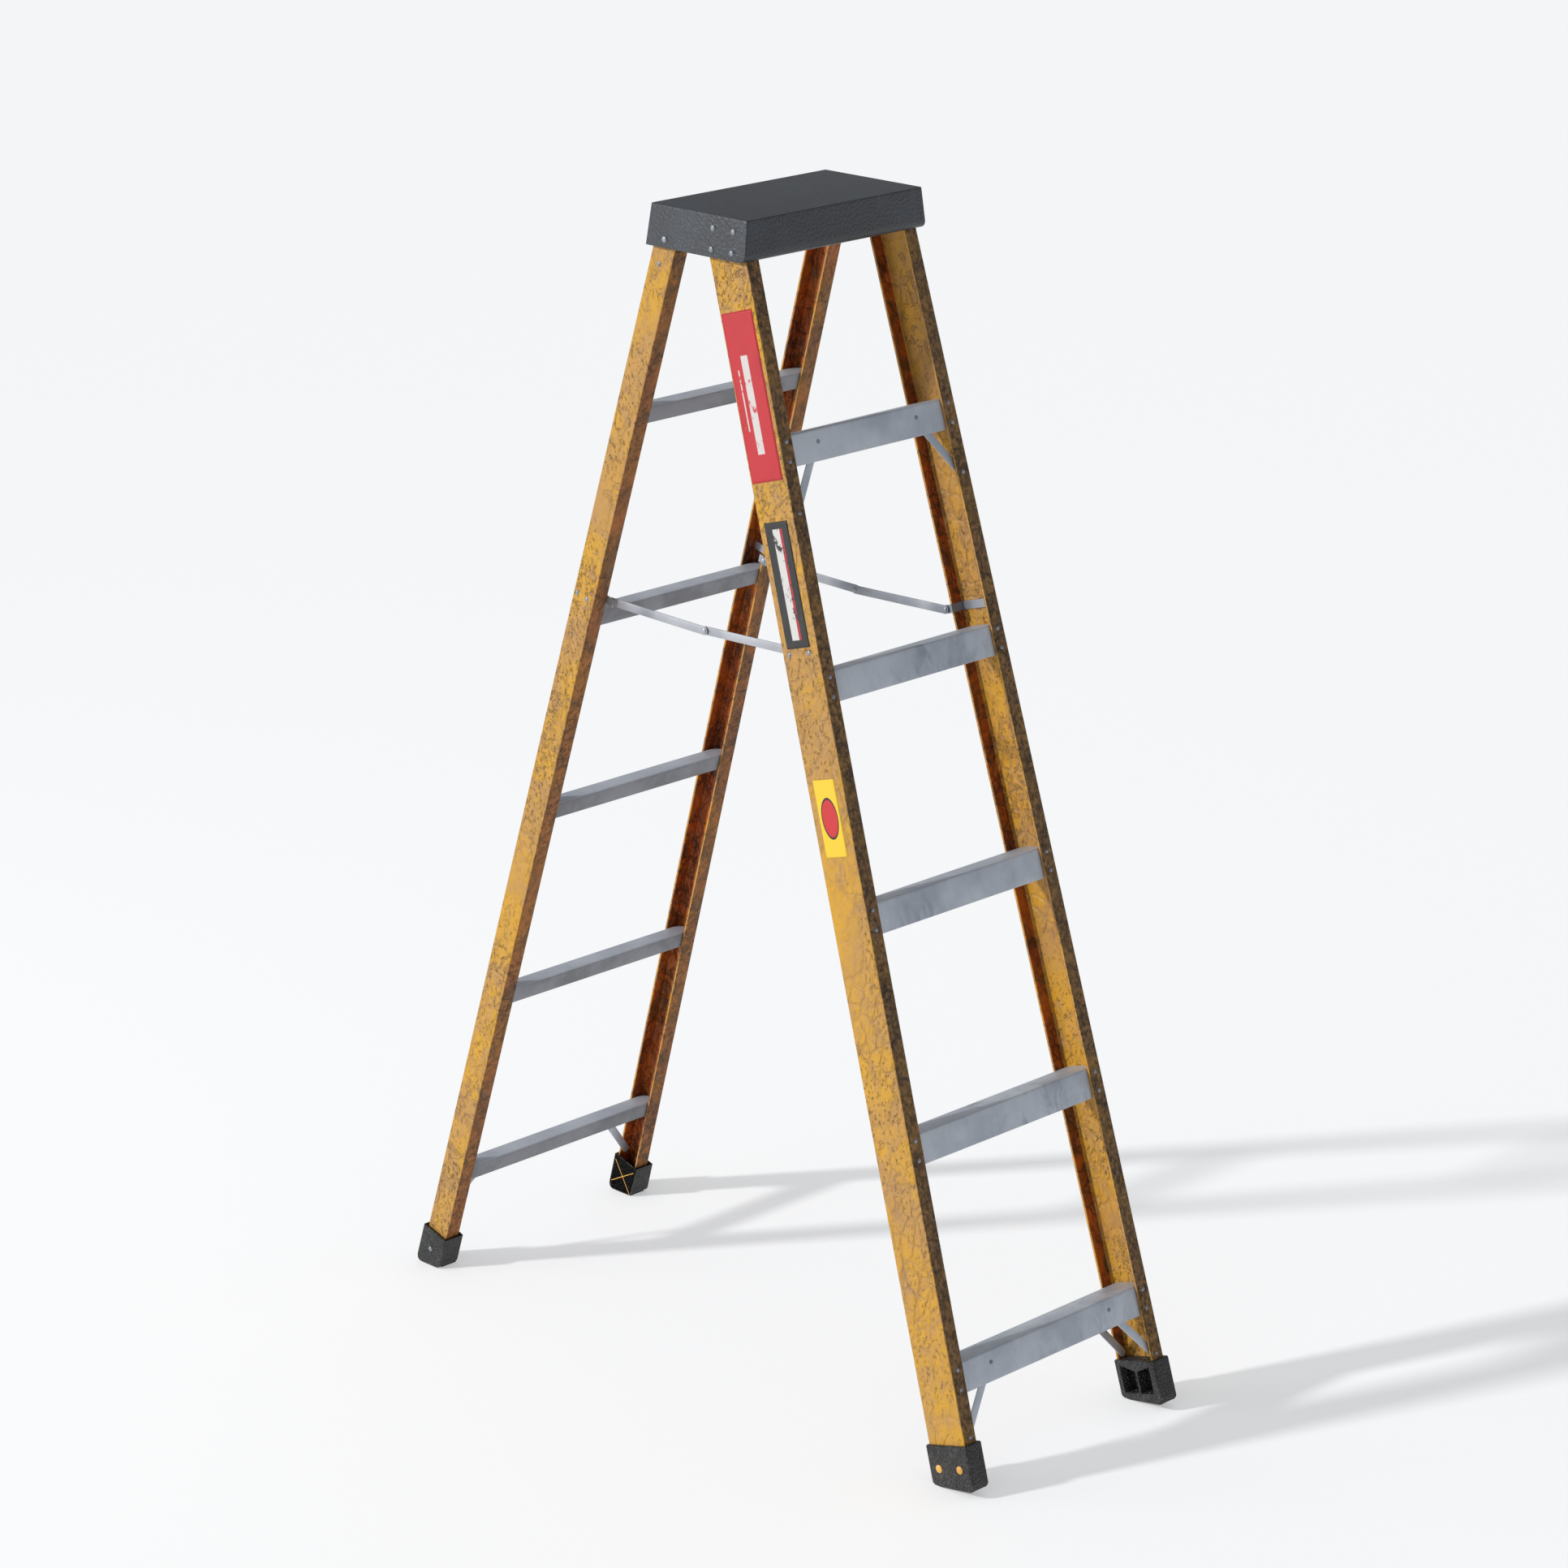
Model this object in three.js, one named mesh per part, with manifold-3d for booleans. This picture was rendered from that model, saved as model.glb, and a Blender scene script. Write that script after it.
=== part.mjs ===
// A four-legged A-frame stepladder: channel rails, five steps, five rear rungs, a moulded top cap,
// moulded feet and two folding spreaders. Millimetres, +Z up, +X across the ladder, the steps face -Y.
// The origin is on the floor, in the middle of the four feet.
import * as THREE from 'three'
import { mergeVertices } from 'three/addons/utils/BufferGeometryUtils.js'
import Module from 'manifold-3d'

const wasm = await Module()
wasm.setup()

// ---------------------------------------------------------------- driving dimensions
const GAP = 0.3                    // clearance between pieces that rest on each other
const HEIGHT = 1678                // floor to the top of the cap
const SPREAD = 574.6               // middle of the ladder to the outer surface of either frame, at the floor
const TOP_FRONT = 88.6             // the same distance at the height of the cap's top, front frame
const TOP_REAR = 55.7              // and rear frame
const FRONT_HALF = 205             // half the width over the front rails at the floor
const FRONT_HALF_TOP = 159.7       // and at the height of the cap's top
const REAR_HALF = 208.4
const REAR_HALF_TOP = 161.9

const FRONT_RAIL = { depth: 70.3, flange: 23.1, wall: 4.6, edge: 2, from: 27 }
const REAR_RAIL = { depth: 42.4, flange: 24.8, wall: 4.2, edge: 2, from: 20 }
const RAIL_TOP_GAP = 5.5           // front rail's end to the underside of the cap
const REAR_RAIL_PAST_PIN = 17      // rear rail's end beyond the hinge pin
const REAR_RAIL_CHAMFER = 11

const STEP_COUNT = 5
const STEP_PITCH = 304.8
const FIRST_STEP = 175.7           // height of the lowest tread's front edge
const FIRST_RUNG = 169.1
const STEP = { behind: 9.5, face: 42.8, lip: 20, wall: 2 }    // behind: from the lip to the rear flange
const RUNG = { behind: 2.65, face: 25.8, lip: 18, wall: 1.8 }
const STEP_RIVET_DROP = 16.9       // tread down to the braces' upper rivets

const CAP = {
  height: 56.6, wall: 3.5, topWall: 5, frontOver: 22.6, rearOver: 18.4, topOver: 5.4,
  frontFlare: 2.4, rearFlare: 5.3, endFlare: 7, round: 8,
}
const CAP_RIVET_BEHIND = [1.9, 40.6] // behind the front frame's surface at the cap's top
const CAP_RIVET_UPPER = 17.9       // below the cap's top
const CAP_RIVET_LOWER = 10.8       // above the cap's lower edge
const CAP_PAD_EDGE = 9             // pad beyond the outermost rivets
const HINGE_IN = 13.4              // in from the rear frame's surface at the cap's top
const HINGE_UP = 11.5              // above the cap's lower edge

const FRONT_FOOT = { top: 75.2, front: 5, rear: 2.4, out: 4.6, into: 4.3, toe: 9.7, heel: 17.6, round: 9 }
const REAR_FOOT = { top: 66.2, front: 4.6, rear: 3, out: 6.2, into: 4.6, wall: 2.2, sole: 1.2, round: 15 }
const POCKET = { under: 7, slope: 9.3, base: 27, inner: 3.4, edge: 7.6, forward: 1.5 }
const WINDOW = { from: 14, rim: 2.4, side: 1.4 }
const CROSS = { above: 2, below: 6.8, bar: 1.7 }   // clear of the window's lower and upper edges
const FOOT_RIVET_UP = 42.3
const FRONT_FOOT_RIVET_EDGE = [14.2, 16.3]         // behind the rail's front, and before its rear
const REAR_FOOT_RIVET_UP = 34.6

const STRAP = { width: 12, wall: 1.6, hole: 1.9 }
const BRACE_OVER_FOOT = 7.8        // lower rivet of the diagonal braces above the front foot
const BRACE_IN = 13                // and in from the rail's outer surface
const BRACE_GAP = 1.8              // between a step's front face and its brace
const BRACE_REACH = 120            // upper rivet from the middle of the step, lowest step
const TOP_BRACE_REACH = 94
const TOP_BRACE_DROP = 103.5       // top step's front edge down to the brace's lower rivet
const REAR_BRACE_REACH = 113
const REAR_BRACE_OVER_FOOT = 9.8

const SPREADER = {
  up: 1165.4, rearUp: 1163.6, out: 5, clear: 2.68, wall: 2, tab: 1.6, width: 12, hole: 2.3,
  midY: -2.4, sag: 5, leg: 8.8, rearLeg: 0.7,
}
const RIVET = { shank: 1.6, head: 3.4, dome: 1.5 }
const FOOT_RIVET = { shank: 1.6, head: 4, dome: 1.5 }
const PIVOT = { shank: 1.9, head: 4.2, dome: 1.6 }
const HINGE_PIN = { shank: 3, head: 4.4, dome: 2 }
const ROUND_SIDES = 14

// ---------------------------------------------------------------- worked-out angles and places
const FRONT_LEAN = Math.atan((SPREAD - TOP_FRONT) / HEIGHT)
const REAR_LEAN = Math.atan((SPREAD - TOP_REAR) / HEIGHT)
const FRONT_BATTER = Math.atan((FRONT_HALF - FRONT_HALF_TOP) * Math.cos(FRONT_LEAN) / HEIGHT)
const REAR_BATTER = Math.atan((REAR_HALF - REAR_HALF_TOP) * Math.cos(REAR_LEAN) / HEIGHT)
const SIDES = { left: -1, right: 1 }
const UNDER_CAP = HEIGHT - CAP.topWall
const CAP_BOTTOM = HEIGHT - CAP.height
const CAP_FRONT = -TOP_FRONT - CAP.frontOver       // front and rear edges of the cap's top
const CAP_REAR = TOP_REAR + CAP.rearOver
const HINGE = { y: TOP_REAR - HINGE_IN, z: CAP_BOTTOM + HINGE_UP }
const STEP_DEPTH = FRONT_RAIL.depth - 2 * FRONT_RAIL.wall - GAP - STEP.behind
const RUNG_RUN = REAR_RAIL.depth - 2 * REAR_RAIL.wall - GAP - RUNG.behind
const RUNG_DEPTH = RUNG_RUN / Math.cos(REAR_LEAN)
const BRACE_UP = FRONT_FOOT.top + BRACE_OVER_FOOT
const REAR_BRACE_UP = REAR_FOOT.top + REAR_BRACE_OVER_FOOT
const FRONT_FOOT_RIVETS = [FRONT_FOOT_RIVET_EDGE[0], FRONT_RAIL.depth - FRONT_FOOT_RIVET_EDGE[1]]

// Distance along a leaning frame of the point at height z that is d behind the frame's outer surface.
const alongFront = (z, d) => z / Math.cos(FRONT_LEAN) + d * Math.tan(FRONT_LEAN)
const alongRear = (z, d) => z / Math.cos(REAR_LEAN) - d * Math.tan(REAR_LEAN)
// Half the width over the rails at a distance along the frame.
const frontHalfAt = (s) => FRONT_HALF - s * Math.tan(FRONT_BATTER)
const rearHalfAt = (s) => REAR_HALF - s * Math.tan(REAR_BATTER)

const finish = (color, roughness, metalness) =>
  new THREE.MeshStandardMaterial({ color, roughness, metalness })
const FIBREGLASS = () => finish(0xc9a040, 0.5, 0)
const ALUMINIUM = () => finish(0x9aa1aa, 0.4, 0.9)
const PLASTIC = () => finish(0x26282b, 0.6, 0)
const STEEL = () => finish(0xc6c9cb, 0.3, 1)
const YELLOW = () => finish(0xd7a53a, 0.4, 0)

// ---------------------------------------------------------------- solids
function toSolid(geometry) {
  const bare = geometry.clone()
  bare.deleteAttribute('normal')
  bare.deleteAttribute('uv')
  const merged = mergeVertices(bare, 1e-4)
  const vertProperties = new Float32Array(merged.attributes.position.array)
  const triVerts = new Uint32Array(merged.index.array)
  return new wasm.Manifold(new wasm.Mesh({ numProp: 3, vertProperties, triVerts }))
}

function toGeometry(solid) {
  const mesh = solid.getMesh()
  const geometry = new THREE.BufferGeometry()
  geometry.setAttribute('position', new THREE.BufferAttribute(new Float32Array(mesh.vertProperties), 3))
  geometry.setIndex(new THREE.BufferAttribute(new Uint32Array(mesh.triVerts), 1))
  const flat = geometry.toNonIndexed()
  flat.computeVertexNormals()
  return flat
}

function piece(name, shape, material, holder) {
  const geometry = shape.isBufferGeometry ? shape : toGeometry(shape)
  const mesh = new THREE.Mesh(geometry, material)
  mesh.name = name
  holder.add(mesh)
  return mesh
}

function outline(points) {
  const shape = new THREE.Shape()
  points.forEach(([x, y], i) => (i ? shape.lineTo(x, y) : shape.moveTo(x, y)))
  shape.closePath()
  return shape
}

// A flat outline given thickness along +Z.
function slab(shape, thickness, segments = 6) {
  return new THREE.ExtrudeGeometry(shape, { depth: thickness, bevelEnabled: false, curveSegments: segments })
}

// An outline in a frame's (d, s) plane, that is (y, z), carried along X from x0 to x1.
function acrossX(points, x0, x1) {
  const geometry = slab(outline(points), x1 - x0)
  geometry.applyMatrix4(new THREE.Matrix4().makeBasis(
    new THREE.Vector3(0, 1, 0), new THREE.Vector3(0, 0, 1), new THREE.Vector3(1, 0, 0)))
  geometry.translate(x0, 0, 0)
  return geometry
}

// A cylinder along X from x0 to x1.
function roundAlongX(radius, x0, x1, y, z) {
  const geometry = new THREE.CylinderGeometry(radius, radius, Math.abs(x1 - x0), ROUND_SIDES)
  geometry.rotateZ(Math.PI / 2)
  geometry.translate((x0 + x1) / 2, y, z)
  return geometry
}

// A solid between a lower and an upper rectangle, each { x: [x0, x1], y: [y0, y1], z }.
function loftBox(low, high) {
  const geometry = new THREE.BoxGeometry(1, 1, 1)
  const place = geometry.attributes.position
  for (let i = 0; i < place.count; i++) {
    const end = place.getZ(i) < 0 ? low : high
    place.setXYZ(i, end.x[place.getX(i) < 0 ? 0 : 1], end.y[place.getY(i) < 0 ? 0 : 1], end.z)
  }
  return geometry
}

// A rivet along its own +Z: a dome above z = 0 and a shank of the given length below it.
function rivetShape({ shank, head, dome }, length) {
  const profile = [new THREE.Vector2(0, -length), new THREE.Vector2(shank, -length),
    new THREE.Vector2(shank, 0), new THREE.Vector2(head, 0)]
  for (let i = 1; i < 4; i++) {
    const turn = (i / 4) * Math.PI / 2
    profile.push(new THREE.Vector2(head * Math.cos(turn), dome * Math.sin(turn)))
  }
  profile.push(new THREE.Vector2(0, dome))
  const geometry = new THREE.LatheGeometry(profile, ROUND_SIDES)
  geometry.rotateX(Math.PI / 2)
  return geometry
}

// A rivet whose dome looks along the side's outward X (out = 1) or inward (out = -1).
function sideRivet(name, kind, length, side, out, x, y, z, material, holder) {
  const mesh = piece(name, rivetShape(kind, length), material, holder)
  mesh.position.set(side * x, y, z)
  mesh.rotation.y = side * out * Math.PI / 2
}

// A flat bar with round ends and a hole near each, from one hole's centre to the other's. Its flat base
// holds both centres, and it is thick towards `normal`.
function strapShape(from, to, normal, { width, wall, hole }) {
  const length = from.distanceTo(to)
  const radius = width / 2
  const shape = new THREE.Shape()
  shape.absarc(length, 0, radius, -Math.PI / 2, Math.PI / 2, false)
  shape.absarc(0, 0, radius, Math.PI / 2, Math.PI * 1.5, false)
  shape.closePath()
  for (const x of [0, length]) {
    const round = new THREE.Path()
    round.absarc(x, 0, hole, 0, Math.PI * 2, true)
    shape.holes.push(round)
  }
  const geometry = slab(shape, wall, 5)
  const along = to.clone().sub(from).normalize()
  const up = normal.clone().addScaledVector(along, -normal.dot(along)).normalize()
  const basis = new THREE.Matrix4().makeBasis(along, up.clone().cross(along), up)
  geometry.applyMatrix4(basis)
  geometry.translate(from.x, from.y, from.z)
  return geometry
}

// ---------------------------------------------------------------- frames and rail holders
const ladder = new THREE.Group()

const frontFrame = new THREE.Group()   // local +Z runs up the front rails, +Y goes rearwards through them
frontFrame.position.y = -SPREAD
frontFrame.rotation.x = -FRONT_LEAN
ladder.add(frontFrame)

const rearFrame = new THREE.Group()    // local +Z runs up the rear rails, +Y points out of their outer surface
rearFrame.position.y = SPREAD
rearFrame.rotation.x = REAR_LEAN
ladder.add(rearFrame)

// A group whose origin is on a rail's outer surface at the floor and whose +Z runs up that rail.
function railHolder(frame, side, half, batter) {
  const holder = new THREE.Group()
  holder.position.x = side * half
  holder.rotation.y = -side * batter
  frame.add(holder)
  ladder.updateMatrixWorld(true)
  return holder
}

const holders = {}
for (const [name, side] of Object.entries(SIDES)) {
  holders[name] = {
    front: railHolder(frontFrame, side, FRONT_HALF, FRONT_BATTER),
    rear: railHolder(rearFrame, side, REAR_HALF, REAR_BATTER),
  }
}

// A geometry given in the ladder's own frame, moved into a holder's frame.
function into(holder, geometry) {
  return geometry.applyMatrix4(holder.matrixWorld.clone().invert())
}

// ---------------------------------------------------------------- rails
// A channel section: the web lies along Y from 0 to depth (dir -1 goes the other way) and the flanges
// reach inwards. `grow` swells every wall, which gives the slot that such a channel slides into.
function channelOutline(side, { depth, flange, wall, edge }, dir, grow = 0) {
  const tip = flange + grow
  const inner = wall + grow
  const low = -grow
  const high = depth + grow
  const points = [
    [low + edge, low], [tip, low], [tip, inner], [inner, inner], [inner, depth - inner],
    [tip, depth - inner], [tip, high], [low + edge, high], [low + edge * 0.3, high - edge * 0.3],
    [low, high - edge], [low, low + edge], [low + edge * 0.3, low + edge * 0.3],
  ]
  return outline(points.map(([u, d]) => [-side * u, dir * d]))
}

function frontRail(name, side) {
  const { wall, depth, from } = FRONT_RAIL
  const holder = holders[name].front
  const top = UNDER_CAP - RAIL_TOP_GAP
  const length = alongFront(top, depth) + depth
  const blank = slab(channelOutline(side, FRONT_RAIL, 1), length - from)
  blank.translate(0, 0, from)
  let solid = toSolid(blank)
  const above = new THREE.BoxGeometry(FRONT_HALF * 4, SPREAD * 4, HEIGHT)
  above.translate(0, 0, top + HEIGHT / 2)
  solid = solid.subtract(toSolid(into(holder, above)))
  for (const [y, z] of capRivetPlaces()) {
    const bore = roundAlongX(RIVET.shank + GAP, side * FRONT_HALF_TOP * 0.9, side * FRONT_HALF_TOP * 1.1, y, z)
    solid = solid.subtract(toSolid(into(holder, bore)))
  }
  for (const d of FRONT_FOOT_RIVETS) {
    solid = solid.subtract(toSolid(roundAlongX(RIVET.shank + GAP, -2 * wall, 2 * wall, d, FOOT_RIVET_UP)))
  }
  piece(`${name}_front_rail`, solid, FIBREGLASS(), holder)
}

function rearRail(name, side) {
  const { wall, depth, from } = REAR_RAIL
  const holder = holders[name].rear
  const pin = new THREE.Vector3(side * REAR_HALF_TOP, HINGE.y, HINGE.z)
  holder.worldToLocal(pin)
  const end = pin.z + REAR_RAIL_PAST_PIN
  const blank = slab(channelOutline(side, REAR_RAIL, -1), end - from)
  blank.translate(0, 0, from)
  const cut = REAR_RAIL_CHAMFER
  const corner = acrossX([[1, end - cut - 1], [1, end + 1], [-cut - 1, end + 1]], -REAR_HALF, REAR_HALF)
  let solid = toSolid(blank).subtract(toSolid(corner))
  const bore = roundAlongX(HINGE_PIN.shank + GAP, side * REAR_HALF_TOP * 0.9, side * REAR_HALF_TOP * 1.1,
    HINGE.y, HINGE.z)
  solid = solid.subtract(toSolid(into(holder, bore)))
  const footBore = roundAlongX(RIVET.shank + GAP, -2 * wall, 2 * wall, -depth / 2, REAR_FOOT_RIVET_UP)
  solid = solid.subtract(toSolid(footBore))
  piece(`${name}_rear_rail`, solid, FIBREGLASS(), holder)
}

// ---------------------------------------------------------------- steps and rungs
// Each is a folded channel: a front face, a tread and a short lip behind, ending inside the rails.
function step(number) {
  const front = FRONT_RAIL.wall + GAP
  const top = alongFront(FIRST_STEP + (number - 1) * STEP_PITCH, front)
  const half = frontHalfAt(top) - FRONT_RAIL.wall / Math.cos(FRONT_BATTER) - GAP
  const { face, lip, wall } = STEP
  const back = front + STEP_DEPTH
  const section = [
    [front, top - face], [front + wall, top - face], [front + wall, top - wall],
    [back - wall, top - wall], [back - wall, top - lip], [back, top - lip], [back, top], [front, top],
  ]
  let solid = toSolid(acrossX(section, -half, half))
  for (const bore of braceRivetBores(number, top)) {
    solid = solid.subtract(toSolid(bore))
  }
  piece(`step_${number}`, solid, ALUMINIUM(), frontFrame)
}

// The tread of a rear rung is level, so its section is skewed in the leaning frame.
function rung(number) {
  const front = -REAR_RAIL.depth + REAR_RAIL.wall + GAP
  const top = alongRear(FIRST_RUNG + (number - 1) * STEP_PITCH, front)
  const half = rearHalfAt(top) - REAR_RAIL.wall / Math.cos(REAR_BATTER) - GAP
  const { face, lip, wall } = RUNG
  const run = RUNG_RUN
  const fall = RUNG_DEPTH * Math.sin(REAR_LEAN)
  const tilt = Math.tan(REAR_LEAN)
  const section = [
    [front, top - face], [front + wall, top - face], [front + wall, top - wall - wall * tilt],
    [front + run - wall, top - wall - fall + wall * tilt], [front + run - wall, top - fall - lip],
    [front + run, top - fall - lip], [front + run, top - fall], [front, top],
  ]
  piece(`rear_rung_${number}`, acrossX(section, -half, half), ALUMINIUM(), rearFrame)
}

// ---------------------------------------------------------------- diagonal braces under steps and rungs
// How far from the middle of a step its braces' upper rivets are.
function braceReach(number) {
  if (number === 1) return BRACE_REACH
  return number === STEP_COUNT ? TOP_BRACE_REACH : null
}

// The holes through a step's front face for those rivets.
function braceRivetBores(number, top) {
  const reach = braceReach(number)
  if (reach === null) return []
  return Object.values(SIDES).map((side) => {
    const bore = new THREE.CylinderGeometry(STRAP.hole, STRAP.hole, FRONT_RAIL.depth / 3, ROUND_SIDES)
    bore.translate(side * reach, FRONT_RAIL.wall, top - STEP_RIVET_DROP)
    return bore
  })
}

function frontBraces(name, side) {
  const towardsRear = new THREE.Vector3(0, 1, 0)
  const behindFlange = FRONT_RAIL.wall + GAP
  for (const number of [1, STEP_COUNT]) {
    const top = alongFront(FIRST_STEP + (number - 1) * STEP_PITCH, behindFlange)
    const low = number === 1 ? BRACE_UP : top - TOP_BRACE_DROP
    const from = new THREE.Vector3(side * (frontHalfAt(low) - BRACE_IN), behindFlange, low)
    const behindFace = behindFlange + STEP.wall + BRACE_GAP
    const to = new THREE.Vector3(side * braceReach(number), behindFace, top - STEP_RIVET_DROP)
    const shape = strapShape(from, to, towardsRear, STRAP)
    piece(`${name}_step_${number}_front_brace`, shape, ALUMINIUM(), frontFrame)
  }
  const towardsFront = new THREE.Vector3(0, -1, 0)
  const top = alongFront(FIRST_STEP, behindFlange)
  const inFlange = FRONT_RAIL.depth - FRONT_RAIL.wall - 3 * GAP
  const behindLip = behindFlange + STEP_DEPTH + GAP + STRAP.wall
  const from = new THREE.Vector3(side * (frontHalfAt(BRACE_UP) - BRACE_IN - 2), inFlange, BRACE_UP)
  const to = new THREE.Vector3(side * REAR_BRACE_REACH, behindLip + GAP, top - STEP.lip / 2)
  piece(`${name}_step_1_rear_brace`, strapShape(from, to, towardsFront, STRAP), ALUMINIUM(), frontFrame)
}

function rearBrace(name, side) {
  const front = -REAR_RAIL.depth + REAR_RAIL.wall + GAP
  const rungBack = front + RUNG_RUN
  const lipTop = alongRear(FIRST_RUNG, front) - RUNG_DEPTH * Math.sin(REAR_LEAN)
  const low = REAR_BRACE_UP
  const from = new THREE.Vector3(side * (rearHalfAt(low) - BRACE_IN - 3), -REAR_RAIL.wall - GAP, low)
  const to = new THREE.Vector3(side * REAR_BRACE_REACH, rungBack - RUNG.wall - 3 * GAP, lipTop - RUNG.lip / 2)
  const towardsFront = new THREE.Vector3(0, -1, 0)
  piece(`${name}_rung_1_brace`, strapShape(from, to, towardsFront, STRAP), ALUMINIUM(), rearFrame)
}

// ---------------------------------------------------------------- top cap
function capRivetPlaces() {
  const heights = [HEIGHT - CAP_RIVET_UPPER, CAP_BOTTOM + CAP_RIVET_LOWER]
  return CAP_RIVET_BEHIND.flatMap((behind) => heights.map((z) => [behind - TOP_FRONT, z]))
}

// Half the cap's length over its end skirts at a height.
function capHalfAt(z) {
  return FRONT_HALF_TOP + CAP.topOver + CAP.endFlare * (HEIGHT - z) / CAP.height
}

function capBody() {
  const { frontFlare, rearFlare, height, round, wall, topWall } = CAP
  const longest = capHalfAt(CAP_BOTTOM)
  const low = CAP_BOTTOM
  const front = CAP_FRONT - frontFlare
  const profile = [[front + round, low]]
  for (let i = 1; i <= 4; i++) {
    const turn = (i / 4) * Math.PI / 2
    profile.push([front + round - round * Math.sin(turn), low + round - round * Math.cos(turn)])
  }
  profile.push([CAP_FRONT, HEIGHT], [CAP_REAR, HEIGHT], [CAP_REAR + rearFlare, low])
  const blank = acrossX(profile, -longest, longest)
  const ends = loftBox(
    { x: [-longest, longest], y: [-SPREAD, SPREAD], z: low },
    { x: [-capHalfAt(HEIGHT), capHalfAt(HEIGHT)], y: [-SPREAD, SPREAD], z: HEIGHT },
  )
  const outer = toSolid(blank).intersect(toSolid(ends))
  const frontInside = -(SPREAD - low * Math.tan(FRONT_LEAN)) - 2 * GAP
  const under = low - height
  const rearInside = (z) => CAP_REAR + rearFlare * (HEIGHT - z) / height - wall
  const hollow = loftBox(
    {
      x: [-capHalfAt(under) + wall, capHalfAt(under) - wall],
      y: [frontInside, rearInside(under)], z: under,
    },
    {
      x: [-capHalfAt(UNDER_CAP) + wall, capHalfAt(UNDER_CAP) - wall],
      y: [frontInside, rearInside(UNDER_CAP)], z: HEIGHT - topWall,
    },
  )
  return { outer, shell: outer.subtract(toSolid(hollow)) }
}

// A pad inside each end skirt that the front rail's web bears on.
function capPad(side) {
  const bearing = (z) => frontHalfAt(z / Math.cos(FRONT_LEAN)) + GAP
  const [near, far] = CAP_RIVET_BEHIND
  const y = [near - TOP_FRONT - CAP_PAD_EDGE, far - TOP_FRONT + CAP_PAD_EDGE]
  const low = CAP_BOTTOM + 2
  const high = UNDER_CAP + 1
  const x = (z) => (side < 0 ? [-FRONT_HALF, -bearing(z)] : [bearing(z), FRONT_HALF])
  return loftBox({ x: x(low), y, z: low }, { x: x(high), y, z: high })
}

function topCap() {
  const { outer, shell } = capBody()
  let solid = shell
  for (const side of Object.values(SIDES)) {
    solid = solid.add(toSolid(capPad(side)).intersect(outer))
    const x0 = side * FRONT_HALF_TOP * 0.9
    const x1 = side * FRONT_HALF
    for (const [y, z] of capRivetPlaces()) {
      solid = solid.subtract(toSolid(roundAlongX(RIVET.shank + GAP, x0, x1, y, z)))
    }
    const bore = roundAlongX(HINGE_PIN.shank + GAP, x0, x1, HINGE.y, HINGE.z)
    solid = solid.subtract(toSolid(bore))
  }
  piece('top_cap', solid, PLASTIC(), ladder)
}

function capFasteners(name, side) {
  const seat = (z, head) => capHalfAt(z) + GAP + head * CAP.endFlare / CAP.height
  capRivetPlaces().forEach(([y, z], i) => {
    const x = seat(z, RIVET.head)
    const length = x - frontHalfAt(z / Math.cos(FRONT_LEAN)) + FRONT_RAIL.wall + 1.5
    sideRivet(`${name}_cap_rivet_${i + 1}`, RIVET, length, side, 1, x, y, z, STEEL(), ladder)
  })
  const x = seat(HINGE.z, HINGE_PIN.head)
  const length = x - rearHalfAt(HINGE.z / Math.cos(REAR_LEAN)) + REAR_RAIL.wall + 2.5
  sideRivet(`${name}_hinge_pin`, HINGE_PIN, length, side, 1, x, HINGE.y, HINGE.z, STEEL(), ladder)
}

// ---------------------------------------------------------------- feet
function floorBlock(holder) {
  const block = new THREE.BoxGeometry(FRONT_HALF * 4, SPREAD * 4, 100)
  block.translate(0, 0, -50)
  return toSolid(into(holder, block))
}

// Points of a rounded corner at (y, z) between the directions to its neighbours.
function roundedCorner(before, at, after, radius, count = 4) {
  const point = new THREE.Vector2(...at)
  const a = new THREE.Vector2(...before).sub(point).normalize()
  const b = new THREE.Vector2(...after).sub(point).normalize()
  const start = point.clone().addScaledVector(a, radius)
  const end = point.clone().addScaledVector(b, radius)
  const curve = new THREE.QuadraticBezierCurve(start, point, end)
  return curve.getPoints(count).map((p) => [p.x, p.y])
}

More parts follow.
